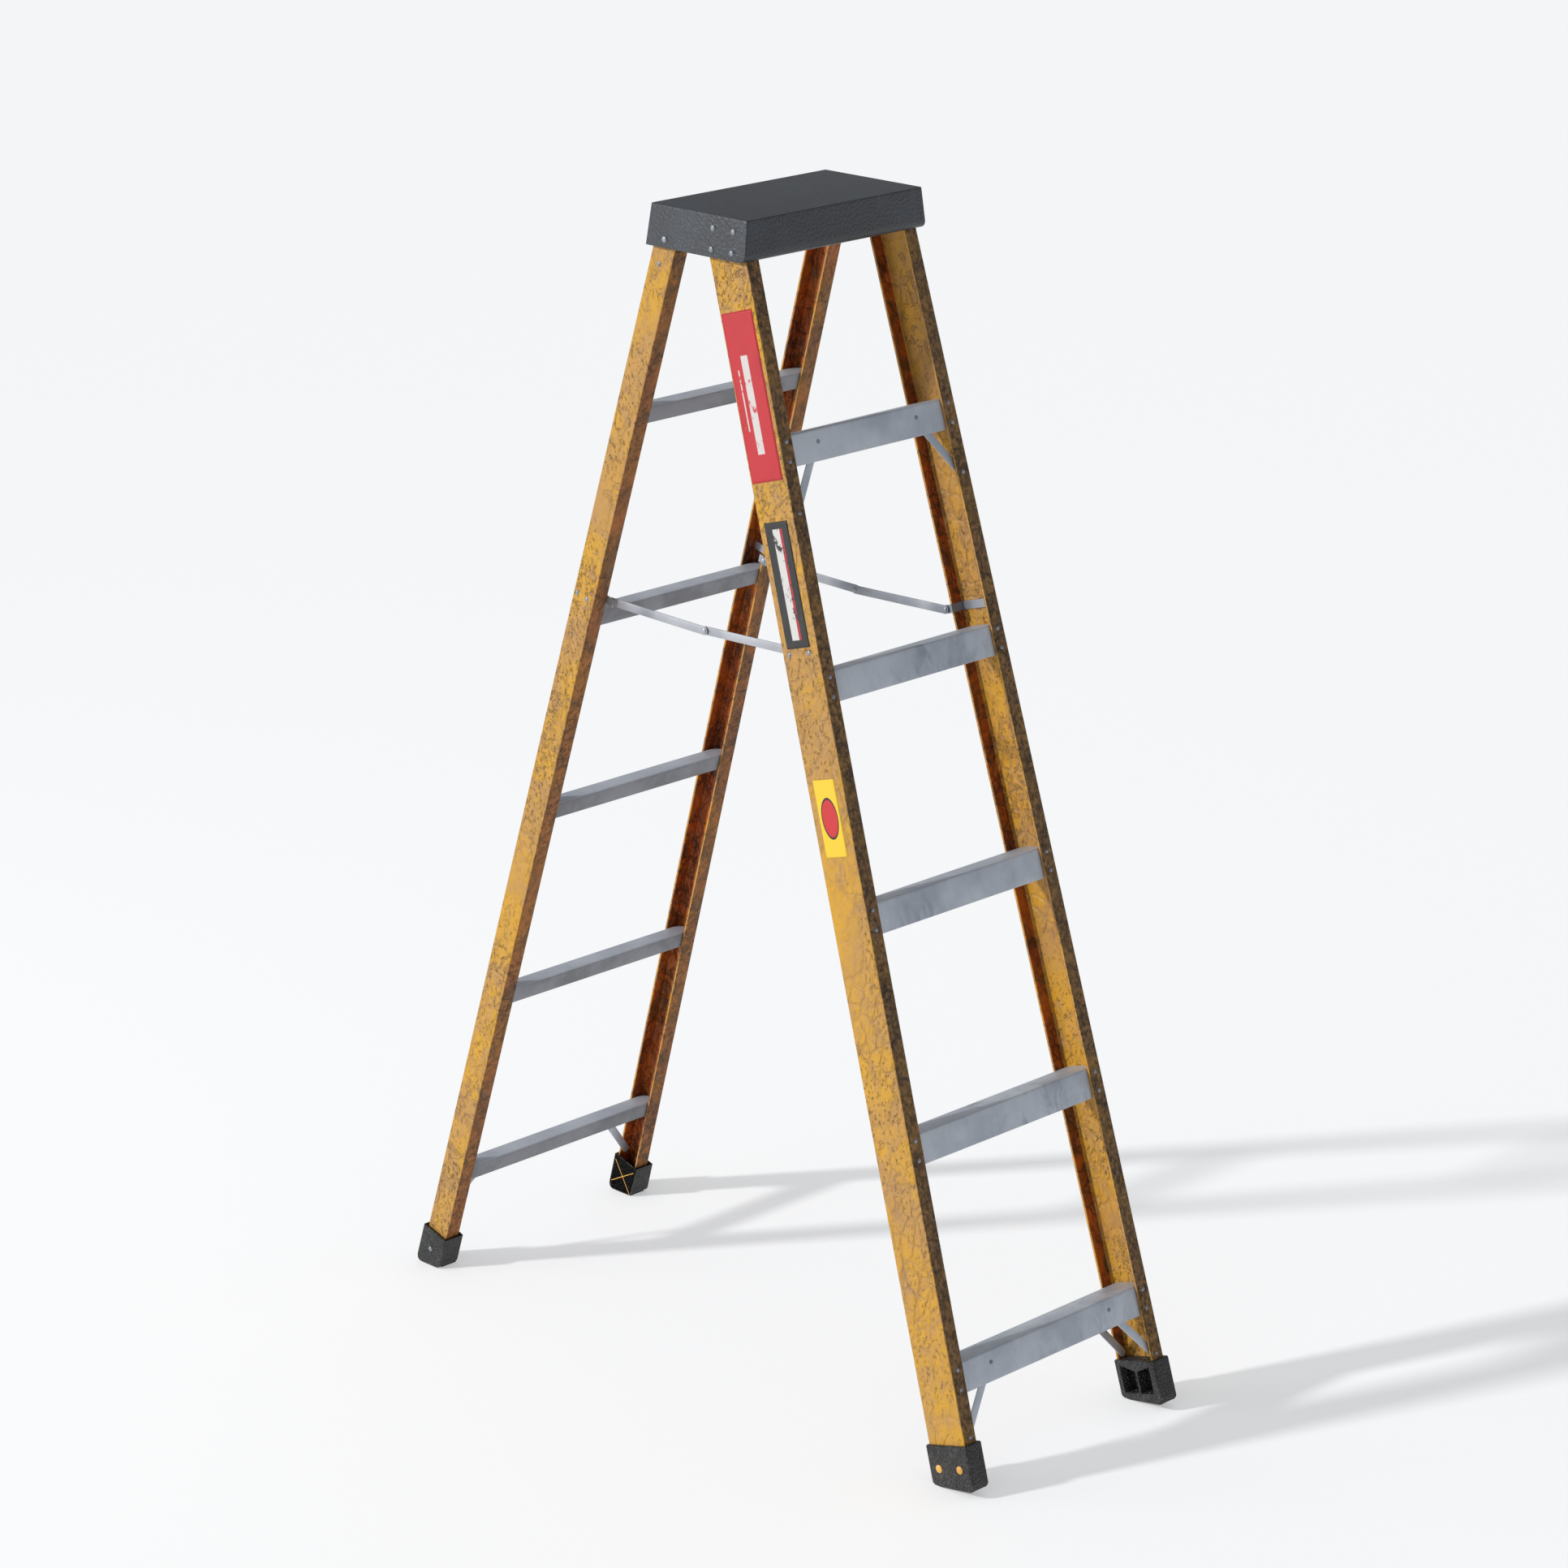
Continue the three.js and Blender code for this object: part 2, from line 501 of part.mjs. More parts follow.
function frontFoot(name, side) {
  const { top, front, rear, out, into: inboard, toe, heel, round } = FRONT_FOOT
  const { depth, flange, wall, from } = FRONT_RAIL
  const holder = holders[name].front
  const back = depth + rear
  const slope = (heel - toe) / (depth + rear + front)
  const toeCorner = [-front, toe - slope * round]
  const heelCorner = [back, heel + slope * round]
  const side0 = [
    [-front, top],
    ...roundedCorner([-front, top], toeCorner, heelCorner, round),
    ...roundedCorner(toeCorner, heelCorner, [back, top], round),
    [back, top],
  ]
  const reach = [side * out, -side * (flange + inboard)].sort((a, b) => a - b)
  let solid = toSolid(acrossX(side0, ...reach)).subtract(floorBlock(holder))
  const slot = slab(channelOutline(side, FRONT_RAIL, 1, GAP), top)
  slot.translate(0, 0, from - GAP)
  solid = solid.subtract(toSolid(slot))
  const middle = depth / 2 - POCKET.forward
  const high = top - POCKET.under
  const reachIn = [-side * (wall + 2), -side * (flange + inboard + 5)].sort((a, b) => a - b)
  const frontPocket = [middle - POCKET.inner, POCKET.edge]
  const rearPocket = [middle + POCKET.inner, depth - POCKET.edge]
  for (const [near, far] of [frontPocket, rearPocket]) {
    const pocket = [[near, high - POCKET.slope], [far, high], [far, POCKET.base], [near, POCKET.base]]
    solid = solid.subtract(toSolid(acrossX(pocket, ...reachIn)))
  }
  FRONT_FOOT_RIVETS.forEach((d, i) => {
    const bore = roundAlongX(RIVET.shank + GAP, -side * (wall + 3), side * 2 * out, d, FOOT_RIVET_UP)
    solid = solid.subtract(toSolid(bore))
    sideRivet(`${name}_front_foot_rivet_${i + 1}`, FOOT_RIVET, out + GAP + wall, side, 1,
      out + GAP, d, FOOT_RIVET_UP, YELLOW(), holder)
  })
  piece(`${name}_front_foot`, solid, PLASTIC(), holder)
}

function rearFoot(name, side) {
  const { top, front, rear, out, into: inboard, wall, sole, round } = REAR_FOOT
  const { depth, flange } = REAR_RAIL
  const holder = holders[name].rear
  const low = -depth - front
  const onFloor = (d) => -d * Math.tan(REAR_LEAN) - sole
  const heel = [rear, onFloor(rear)]
  const toe = [low, onFloor(low)]
  const side0 = [
    [rear, top], ...roundedCorner([rear, top], heel, toe, round),
    ...roundedCorner(heel, toe, [low, top], round / 2), [low, top],
  ]
  const reach = [side * out, -side * (flange + inboard)].sort((a, b) => a - b)
  let solid = toSolid(acrossX(side0, ...reach)).subtract(floorBlock(holder))
  const inside = [
    [rear - wall, top + 1], [rear - wall, REAR_RAIL.from - GAP],
    [low + wall, REAR_RAIL.from - GAP], [low + wall, top + 1],
  ]
  const hollow = [side * (out - wall), -side * (flange + inboard - wall)].sort((a, b) => a - b)
  solid = solid.subtract(toSolid(acrossX(inside, ...hollow)))
  const opening = [
    [rear - wall - WINDOW.side, top - WINDOW.rim], [rear - wall - WINDOW.side, WINDOW.from],
    [low + wall + WINDOW.side, WINDOW.from], [low + wall + WINDOW.side, top - WINDOW.rim],
  ]
  const through = [-side * (flange - 2), -side * (flange + inboard + 5)].sort((a, b) => a - b)
  solid = solid.subtract(toSolid(acrossX(opening, ...through)))
  const bossEnd = side * (out - wall / 2)
  solid = solid.add(toSolid(roundAlongX(6, side * GAP, bossEnd, -depth / 2, REAR_FOOT_RIVET_UP)))
  const bore = roundAlongX(RIVET.shank + GAP, -side, side * 2 * out, -depth / 2, REAR_FOOT_RIVET_UP)
  piece(`${name}_rear_foot`, solid.subtract(toSolid(bore)), PLASTIC(), holder)
  sideRivet(`${name}_rear_foot_rivet`, RIVET, out + GAP + REAR_RAIL.wall + 1, side, 1,
    out + GAP, -depth / 2, REAR_FOOT_RIVET_UP, STEEL(), holder)
  footCross(name, side, rear - wall - WINDOW.side - GAP, low + wall + WINDOW.side + GAP)
}

// Two thin ribs that cross in the open inner side of a rear foot.
function footCross(name, side, y0, y1) {
  const from = WINDOW.from + CROSS.above
  const to = REAR_FOOT.top - WINDOW.rim - CROSS.below
  const { bar } = CROSS
  const outer = REAR_RAIL.flange + REAR_FOOT.into
  const reach = [-side * outer, -side * (outer - REAR_FOOT.wall + GAP)].sort((a, b) => a - b)
  const rib = (a, b) => acrossX([[y0, a], [y0, a + bar], [y1, b + bar], [y1, b]], ...reach)
  const solid = toSolid(rib(from, to)).add(toSolid(rib(to, from)))
  piece(`${name}_rear_foot_cross`, solid, YELLOW(), holders[name].rear)
}

// ---------------------------------------------------------------- spreaders
// Both brackets are bent straps: riveted to the web, along a flange's inner face, then past its tip as a
// tab that carries the pivot. `dir` is +1 where the tab goes towards larger Y.
function bracket(name, side, holder, rail, dir, pivot, legFrom, bend) {
  const at = holder.worldToLocal(pivot.clone())
  const u = (v) => -side * v
  const t = SPREADER.tab
  const near = rail.wall + GAP
  const tab = u(at.x) - 2 * GAP - t
  const end = at.y + dir * SPREADER.width / 2
  const points = [
    [near, legFrom], [near, bend], [tab, bend], [tab, end], [tab + t, end],
    [tab + t, bend - dir * t], [near + t, bend - dir * t], [near + t, legFrom],
  ]
  const geometry = slab(outline(points.map(([a, b]) => [u(a), b])), SPREADER.width)
  geometry.translate(0, 0, at.z - SPREADER.width / 2)
  const bore = roundAlongX(SPREADER.hole, u(tab - 1), u(tab + t + 1), at.y, at.z)
  piece(name, toSolid(geometry).subtract(toSolid(bore)), STEEL(), holder)
}

// The rear arm is the outboard one of the two. Both hang just inboard of the flanges' tips.
function spreader(name, side) {
  const { up, rearUp, out, clear, wall, tab, width, hole, midY, sag, leg, rearLeg } = SPREADER
  const frontTip = frontHalfAt(up) - FRONT_RAIL.flange
  const rearTip = rearHalfAt(rearUp) - REAR_RAIL.flange
  const rearPlane = Math.min(frontTip, rearTip) - clear
  const frontPlane = rearPlane - wall - 2 * GAP
  const frontPivot = frontFrame.localToWorld(new THREE.Vector3(0, FRONT_RAIL.depth + out, up))
  const rearPivot = rearFrame.localToWorld(new THREE.Vector3(0, -REAR_RAIL.depth - out, rearUp))
  const middle = new THREE.Vector3(0, midY, (frontPivot.z + rearPivot.z) / 2 - sag)
  const at = (p, x) => new THREE.Vector3(side * x, p.y, p.z)

  const frontBend = FRONT_RAIL.depth - FRONT_RAIL.wall - GAP
  const rearBend = -REAR_RAIL.depth + REAR_RAIL.wall + GAP
  bracket(`${name}_front_bracket`, side, holders[name].front, FRONT_RAIL, 1, at(frontPivot, frontPlane),
    FRONT_RAIL.wall + leg, frontBend)
  bracket(`${name}_rear_bracket`, side, holders[name].rear, REAR_RAIL, -1, at(rearPivot, rearPlane),
    -REAR_RAIL.wall - rearLeg, rearBend)

  const inwards = new THREE.Vector3(-side, 0, 0)
  const bar = { width, wall, hole }
  const frontArm = strapShape(at(frontPivot, frontPlane), at(middle, frontPlane), inwards, bar)
  const rearArm = strapShape(at(rearPivot, rearPlane), at(middle, rearPlane), inwards, bar)
  piece(`${name}_front_arm`, frontArm, STEEL(), ladder)
  piece(`${name}_rear_arm`, rearArm, STEEL(), ladder)

  const through = wall + tab + 3 * GAP
  sideRivet(`${name}_front_pivot`, PIVOT, through, side, -1, frontPlane - wall - GAP,
    frontPivot.y, frontPivot.z, STEEL(), ladder)
  sideRivet(`${name}_rear_pivot`, PIVOT, through, side, -1, rearPlane - wall - GAP,
    rearPivot.y, rearPivot.z, STEEL(), ladder)
  sideRivet(`${name}_mid_pivot`, PIVOT, wall + GAP, side, 1, rearPlane + GAP,
    middle.y, middle.z, STEEL(), ladder)
}

// ---------------------------------------------------------------- the ladder
topCap()
for (let number = 1; number <= STEP_COUNT; number++) {
  step(number)
  rung(number)
}
for (const [name, side] of Object.entries(SIDES)) {
  frontRail(name, side)
  rearRail(name, side)
  frontBraces(name, side)
  rearBrace(name, side)
  capFasteners(name, side)
  frontFoot(name, side)
  rearFoot(name, side)
  spreader(name, side)
}

// The origin moves to the middle of the whole object, on the floor.
const bounds = new THREE.Box3().setFromObject(ladder, true)
ladder.position.y = -(bounds.min.y + bounds.max.y) / 2

export default ladder
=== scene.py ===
# %% [markdown]
# # A fibreglass A-frame stepladder
# The exact model of the ladder is loaded as a frame. Each of its pieces is then given a finer surface
# in the same place, and a finish. All lengths are in metres, +Z is up, and the steps face -Y.

# %% The frame
import math

import bpy
import numpy as np
from mathutils import Matrix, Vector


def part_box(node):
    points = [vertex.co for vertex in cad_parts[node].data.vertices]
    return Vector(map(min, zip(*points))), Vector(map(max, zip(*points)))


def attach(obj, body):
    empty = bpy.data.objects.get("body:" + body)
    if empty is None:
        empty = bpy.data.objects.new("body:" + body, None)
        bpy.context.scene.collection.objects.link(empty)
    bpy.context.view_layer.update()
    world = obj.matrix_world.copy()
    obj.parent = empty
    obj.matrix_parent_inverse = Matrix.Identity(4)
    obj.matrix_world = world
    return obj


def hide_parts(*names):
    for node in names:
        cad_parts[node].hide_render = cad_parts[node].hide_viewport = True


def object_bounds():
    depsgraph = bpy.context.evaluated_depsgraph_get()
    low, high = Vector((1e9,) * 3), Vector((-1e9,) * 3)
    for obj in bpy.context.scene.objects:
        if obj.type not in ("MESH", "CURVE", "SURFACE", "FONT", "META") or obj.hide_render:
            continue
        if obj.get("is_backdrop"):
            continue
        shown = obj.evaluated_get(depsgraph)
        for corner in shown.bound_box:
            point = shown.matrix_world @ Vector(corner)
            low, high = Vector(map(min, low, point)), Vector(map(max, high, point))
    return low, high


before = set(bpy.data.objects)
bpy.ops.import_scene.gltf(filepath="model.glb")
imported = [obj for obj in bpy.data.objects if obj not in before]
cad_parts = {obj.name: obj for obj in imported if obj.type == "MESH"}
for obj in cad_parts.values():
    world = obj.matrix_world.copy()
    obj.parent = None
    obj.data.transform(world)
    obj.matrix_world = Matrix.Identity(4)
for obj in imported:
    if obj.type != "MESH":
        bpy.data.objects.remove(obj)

CAD_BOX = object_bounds()
print("size of the frame:", [round(v, 3) for v in CAD_BOX[1] - CAD_BOX[0]])

# %% [markdown]
# ## Where the pieces are
# The two frames of the ladder lean towards each other, and the rails of each come closer together
# towards the top. A rail is easiest to draw in its own coordinates: u goes inwards from its outer
# surface, d goes rearwards through the ladder, and s runs up the slope. One function per frame turns
# those into the room's x, y and z. The leans come from the ladder's height and from where the rails
# stand at the floor and at the cap. The rails' taper is the difference between half the width at the
# floor and at the cap, for each metre up the slope.

# %% Sizes, in metres
HEIGHT = 1.678
SPREAD = 0.5746
SHIFT = 0.000149  # the ladder is centred between its feet
AT_CAP = {"front": 0.0886, "rear": 0.0557}  # how far each frame's rails are from the middle at the top
LEAN = {part: math.atan((SPREAD - reach) / HEIGHT) for part, reach in AT_CAP.items()}
HALF = {"front": 0.205, "rear": 0.2084}  # half the width at the floor
HALF_AT_CAP = {"front": 0.1597, "rear": 0.1619}
TAPER = {part: (HALF[part] - HALF_AT_CAP[part]) * math.cos(LEAN[part]) / HEIGHT for part in HALF}
FRONT_RAIL = dict(depth=0.0703, flange=0.0231, wall=0.0046)
REAR_RAIL = dict(depth=0.0424, flange=0.0248, wall=0.0042)
print("leans in degrees:", {k: round(math.degrees(v), 2) for k, v in LEAN.items()})


# %% From a leaning frame to the room
def in_room(part, x, d, s):
    """Turns (x, d, s) of the front or rear frame about the X axis by its lean, then moves it to its foot."""
    x, d, s = np.broadcast_arrays(np.asarray(x, float), d, s)
    c, k = math.cos(LEAN[part]), math.sin(LEAN[part])
    if part == "front":
        y, z = -SPREAD + s * k + d * c, s * c - d * k
    else:
        y, z = SPREAD - s * k + d * c, s * c + d * k
    return np.stack([x, y + SHIFT, z], -1)


def on_rail(part, side, u, d, s):
    """As in_room, with x measured inwards from a rail's outer surface, which tapers in as s grows."""
    return in_room(part, side * (HALF[part] - np.asarray(s) * TAPER[part] - np.asarray(u)), d, s)


print("the left front rail's foot:", np.round(on_rail("front", -1, 0.0, 0.0, 0.0), 3))

# %% [markdown]
# ## Surfaces from numbers
# Every new piece is either a closed outline carried along a line, or a stack of rings. Both are a
# grid of points, so one function can turn any of them into a closed mesh: the rows are joined by four
# sided faces, and the first and last rows are closed by one face each. Sharp corners look false, so
# outlines get small rounds where the sheet or the moulding has them.

# %% Outlines and grids
SHARP_FROM = math.radians(40)


def rounded(corners, radii, count=5):
    """Each corner is swapped for a parabola from one side to the other, starting `radius` before it."""
    p = np.asarray(corners, float)
    r = np.broadcast_to(np.asarray(radii, float), len(p))[:, None, None]
    back, ahead = np.roll(p, 1, 0) - p, np.roll(p, -1, 0) - p
    back /= np.linalg.norm(back, axis=1, keepdims=True)
    ahead /= np.linalg.norm(ahead, axis=1, keepdims=True)
    t = np.linspace(0, 1, count)[None, :, None]
    curve = p[:, None] + r * (back[:, None] * (1 - t) ** 2 + ahead[:, None] * t**2)
    return curve.reshape(-1, 2)


def make(name, points, faces, body, slot, material, stands_for=(), uv=None, layers=None):
    """A mesh object from points and faces, on its body, with its finish."""
    mesh = bpy.data.meshes.new(name)
    mesh.from_pydata(points.tolist(), [], faces)
    mesh.validate()
    piece = bpy.data.objects.new(name, mesh)
    bpy.context.scene.collection.objects.link(piece)
    for key, values in (layers or {}).items():
        layer = mesh.attributes.new(key, "FLOAT", "POINT")
        layer.data.foreach_set("value", np.asarray(values, float).ravel())
    if uv is not None:
        index = np.empty(len(mesh.loops), dtype=np.int32)
        mesh.loops.foreach_get("vertex_index", index)
        mesh.uv_layers.new(name="UVMap").data.foreach_set("uv", np.asarray(uv, float)[index].ravel())
    mesh.polygons.foreach_set("use_smooth", [True] * len(mesh.polygons))
    mesh.set_sharp_from_angle(angle=SHARP_FROM)
    mesh.materials.append(material)
    if stands_for:
        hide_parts(*stands_for)
    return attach(piece, body)


def tube_faces(rows, columns):
    """Faces between neighbouring rows of a grid that is closed round, and one face over each end."""
    i, j = np.meshgrid(np.arange(rows - 1), np.arange(columns), indexing="ij")
    a, b = i * columns + j, i * columns + (j + 1) % columns
    quads = np.stack([a, b, b + columns, a + columns], -1).reshape(-1, 4).tolist()
    quads.append(list(range(columns))[::-1])
    quads.append(list(range((rows - 1) * columns, rows * columns)))
    return quads


def turned_out(points, faces):
    """The faces, reversed if the volume they hold, summed over their corners' triangles, is negative."""
    total = 0.0
    quads = np.array([f for f in faces if len(f) == 4])
    for k in (1, 2):
        a, b, c = points[quads[:, 0]], points[quads[:, k]], points[quads[:, k + 1]]
        total += np.einsum("ij,ij->", a - points.mean(0), np.cross(b - points.mean(0), c - points.mean(0)))
    return [f[::-1] for f in faces] if total < 0 else faces


def tube(name, grid, *how, **more):
    """A closed piece from a grid of rows by columns of points, each row a ring."""
    rows, columns = grid.shape[:2]
    points = grid.reshape(-1, 3)
    return make(name, points, turned_out(points, tube_faces(rows, columns)), *how, **more)


def joined(name, parts, *how, **more):
    """Several closed pieces, each a grid of rings, in one mesh."""
    points, faces, start = [], [], 0
    for grid in parts:
        flat = grid.reshape(-1, 3)
        own = turned_out(flat, tube_faces(*grid.shape[:2]))
        faces += [[v + start for v in f] for f in own]
        points.append(flat)
        start += len(flat)
    return make(name, np.concatenate(points), faces, *how, **more)


print("faces of a tube of 3 rings with 8 points each:", len(tube_faces(3, 8)))

# %% [markdown]
# ## Finishes
# A finish is a small network of nodes. Written as a Python expression it can be read like a formula:
# a socket is wrapped in a class whose operators add the Math nodes. Most of it is drawn from noise in
# the object's own coordinates, so that the pattern stays on the piece when the ladder folds.

# %% Shader maths
class Value:
    """A number that varies over a surface. The operators add Math nodes to its finish."""

    def __init__(self, look, socket):
        self.look, self.socket = look, socket

    def math(self, kind, *others):
        terms = {f"_{place}": item for place, item in enumerate((self, *others))}
        return Value(self.look, self.look.node("ShaderNodeMath", {"operation": kind}, **terms).outputs[0])

    def __add__(self, other):
        return self.math("ADD", other)

    def __mul__(self, other):
        return self.math("MULTIPLY", other)

    def __sub__(self, other):
        return self.math("SUBTRACT", other)

    def __rsub__(self, other):
        return (self * -1.0) + other

    __radd__ = __add__
    __rmul__ = __mul__

    def step(self, low, high):
        """0 below low, 1 above high, and smooth between them."""
        settings = {"interpolation_type": "SMOOTHSTEP"}
        made = self.look.node("ShaderNodeMapRange", settings, Value=self, From_Min=low, From_Max=high)
        return Value(self.look, made.outputs["Result"])

    def limit(self):
        """The number, but no less than 0 and no more than 1."""
        return self.math("MINIMUM", 1.0).math("MAXIMUM", 0.0)


class Finish:
    """One material. `node` adds any node, and the other methods are the ones used most."""

    def __init__(self, name, **fixed):
        self.material = bpy.data.materials.new(name)
        self.material.use_nodes = True
        self.tree = self.material.node_tree
        self.surface = self.tree.nodes["Principled BSDF"]
        for key, value in fixed.items():
            self.surface.inputs[key.replace("_", " ")].default_value = value
        self.place = self.node("ShaderNodeTexCoord").outputs["Object"]

    def node(self, kind, settings=(), **sockets):
        """A node with its settings made first. A socket is named, or numbered as _0, _1 and so on."""
        made = self.tree.nodes.new(kind)
        for key, value in dict(settings).items():
            setattr(made, key, value)
        for key, value in sockets.items():
            numbered = key[0] == "_"
            target = made.inputs[int(key[1:])] if numbered else made.inputs[key.replace("_", " ")]
            source = getattr(value, "socket", value)
            if isinstance(source, bpy.types.NodeSocket):
                self.tree.links.new(source, target)
            else:
                target.default_value = source
        return made

    def stretched(self, scale):
        return self.node("ShaderNodeMapping", Vector=self.place, Scale=scale).outputs[0]

    def noise(self, scale, detail=5.0, rough=0.55, stretch=None, warp=0.0):
        where = self.stretched(stretch) if stretch else self.place
        made = self.node("ShaderNodeTexNoise", Vector=where, Scale=scale, Detail=detail, Roughness=rough,
                         Distortion=warp)
        return Value(self, made.outputs["Fac"])

    def cracks(self, scale, warp_scale=9.0, warp=0.05, stretch=(1, 1, 1)):
        """Distance to the nearest cell wall, in coordinates pushed about by noise."""
        push = self.node("ShaderNodeTexNoise", Vector=self.place, Scale=warp_scale, Detail=4.0)
        less = self.node("ShaderNodeVectorMath", {"operation": "SCALE"}, _0=push.outputs["Color"], Scale=warp)
        moved = self.node("ShaderNodeVectorMath", {"operation": "ADD"}, _0=self.stretched(stretch),
                          _1=less.outputs[0])
        cells = {"feature": "DISTANCE_TO_EDGE"}
        made = self.node("ShaderNodeTexVoronoi", cells, Vector=moved.outputs[0], Scale=scale)
        return Value(self, made.outputs["Distance"])

    def attribute(self, name):
        made = self.node("ShaderNodeAttribute", {"attribute_name": name})
        return Value(self, made.outputs["Fac"])

    def mix(self, amount, low, high):
        made = self.node("ShaderNodeMix", {"data_type": "RGBA"}, _0=amount, _6=low, _7=high)
        return made.outputs[2]

    def set(self, socket, value):
        self.tree.links.new(getattr(value, "socket", value), self.surface.inputs[socket])

    def bump(self, height, distance, strength=1.0):
        made = self.node("ShaderNodeBump", Strength=strength, Distance=distance, Height=height)
        self.set("Normal", made.outputs[0])


def colour(r, g, b):
    """The linear colour of an everyday 0 to 255 one."""
    c = np.array([r, g, b]) / 255
    return (*np.where(c < 0.04045, c / 12.92, ((c + 0.055) / 1.055) ** 2.4), 1.0)


print("a test colour:", [round(v, 3) for v in colour(215, 170, 55)])

# %% [markdown]
# ### Weathered fibreglass
# The rails are pulled glass fibre in yellow resin. Years outside leave them with ochre patches, tan
# cracks where the resin has crazed, and a dark brown on the narrow front faces that is part dirt and
# part painted shade. Inside the channel, rust washed from the rivets has dried into a dark orange. Two
# numbers stored on the mesh tell the finish which face of the channel it is on: one for the front
# faces' dirt and painted shade, one for rust.

# %% The fibreglass finish
fibre = Finish("weathered_fibreglass", IOR=1.45)
shade_and_dirt, rust = fibre.attribute("shade_and_dirt"), fibre.attribute("rust")
patches = fibre.noise(8.0, 8.0, 0.62, warp=0.6)
speckle = fibre.noise(190.0, 5.0, 0.66, stretch=(1, 1, 0.7))
smear = fibre.noise(26.0, 8.0, 0.7, stretch=(1, 1, 0.6), warp=1.4)
where_pitted = fibre.noise(5.0, 4.0, 0.6).step(0.4, 0.6)
crazing = fibre.cracks(44.0, 18.0, 0.045, (1, 1, 0.8))
wide = fibre.cracks(17.0, 12.0, 0.09, (1, 1, 0.6))
where_crazed = fibre.noise(6.0, 3.0).step(0.4, 0.56)
line = (1 - crazing.step(0.0, 0.1)) * where_crazed
fold = (1 - wide.step(0.0, 0.07)) * fibre.noise(10.0, 3.0).step(0.4, 0.6)
pits = (1 - speckle.step(0.34, 0.44)) * (where_pitted * 0.85 + 0.15)
flakes = fibre.noise(34.0, 6.0, 0.7, warp=1.8)
flaked = flakes.step(0.54, 0.57) * fibre.noise(3.7, 2.0).step(0.54, 0.6)
base = fibre.mix(patches.step(0.4, 0.62), colour(202, 150, 34), colour(184, 138, 68))
base = fibre.mix(smear.step(0.46, 0.7) * 0.7, base, colour(170, 130, 86))
base = fibre.mix((line * 0.4 + fold * 0.35).limit(), base, colour(150, 112, 76))
base = fibre.mix(flaked * 0.55, base, colour(160, 120, 82))
base = fibre.mix(pits * 0.3, base, colour(132, 94, 58))
veins = (line + fold).limit()
# the front faces are mixed to dark brown: part dirt, part painted shade
grime_and_shade = (shade_and_dirt * (0.5 + smear * 0.9)).limit()
dark = fibre.mix(speckle.step(0.4, 0.6), colour(44, 31, 20), colour(116, 84, 54))
base = fibre.mix(grime_and_shade, base, fibre.mix(veins * 0.75, dark, colour(34, 24, 16)))
stain = (rust * (0.75 + patches * 0.5)).limit()
deep = fibre.mix(smear.step(0.4, 0.66), colour(172, 78, 10), colour(74, 34, 10))
base = fibre.mix(stain, base, fibre.mix(veins * 0.6, deep, colour(36, 18, 8)))
fibre.set("Base Color", base)
fibre.set("Roughness", 0.38 + patches * 0.2 + grime_and_shade * 0.2)
raised = patches * 0.9 + smear * 0.7 + crazing.step(0.0, 0.16) * 0.45 * where_crazed
fibre.bump(raised + wide.step(0.0, 0.14) * 0.4 - pits * 0.5 - flaked * 0.35, 0.003, 1.0)
print("nodes in the fibreglass finish:", len(fibre.tree.nodes))

# %% [markdown]
# ### Aluminium, zinc, steel and plastic
# The steps are plain aluminium sheet, dulled and smudged by shoes, so the smudges change both its
# colour and its shine. The rungs are duller, and their fronts are drawn darker as painted shade, which
# a number on the mesh marks. The bars and the cap's rivets are zinc plated, and the small rivets are
# grey steel. The cap has the fine skin of a moulded plastic, and the feet a coarser, wrinkled one.

# %% The other finishes
alu = Finish("dull_aluminium", Metallic=0.4)
streaks = alu.noise(24.0, 7.0, 0.65, stretch=(1.5, 1, 0.8), warp=0.8)
smudge = alu.noise(9.0, 6.0, 0.6)
grain = alu.noise(90.0, 4.0, 0.6, stretch=(0.06, 1, 1))
where_smeared = alu.noise(3.1, 2.0).step(0.48, 0.6)
tone = alu.mix(smudge.step(0.35, 0.65), colour(194, 200, 209), colour(170, 177, 188))
tone = alu.mix(streaks.step(0.46, 0.72) * (where_smeared * 0.5 + 0.1), tone, colour(120, 127, 138))
alu.set("Base Color", tone)
alu.set("Roughness", 0.34 + streaks * 0.25 + grain * 0.08)
alu.bump(grain * 0.3 + smudge * 0.8, 0.0005, 0.5)

rung_alu = Finish("weathered_aluminium_shaded_fronts", Metallic=0.25)
haze = rung_alu.noise(14.0, 6.0, 0.6)
weathered = rung_alu.mix(haze.step(0.35, 0.7), colour(196, 201, 210), colour(176, 181, 191))
# painted shade: the rungs' front faces take this darker grey
painted_shade_front = rung_alu.mix(haze.step(0.4, 0.6), colour(116, 115, 120), colour(94, 92, 94))
rung_alu.set("Base Color", rung_alu.mix(rung_alu.attribute("shade_and_dirt"), weathered, painted_shade_front))
rung_alu.set("Roughness", 0.38 + haze * 0.2)
rung_alu.bump(haze, 0.0006, 0.5)

zinc = Finish("plated_steel", Metallic=0.6)
cloud = zinc.noise(7.0, 3.0, stretch=(1, 1, 0.3))
zinc.set("Base Color", zinc.mix(cloud.step(0.4, 0.62), colour(178, 180, 185), colour(134, 138, 146)))
zinc.set("Roughness", 0.36 + cloud * 0.14)
zinc.bump(zinc.noise(300.0, 3.0), 0.0001, 0.3)


def moulded(name, dark, pale, cell, depth, rough):
    """Plastic with a grained skin: cells for the wrinkles, worn paler in patches."""
    skin = Finish(name, IOR=1.46, Specular_IOR_Level=0.75)
    wrinkle = skin.cracks(cell, cell * 0.5, 0.004)
    worn = skin.noise(16.0, 7.0, 0.65)
    fine = skin.noise(cell * 1.4, 4.0)
    skin.set("Base Color", skin.mix(worn.step(0.42, 0.7), dark, pale))
    skin.set("Roughness", rough + worn * 0.14 - fine * 0.06)
    skin.bump(wrinkle.step(0.0, 0.35) * 0.8 + fine * 0.5, depth, 0.8)
    return skin.material


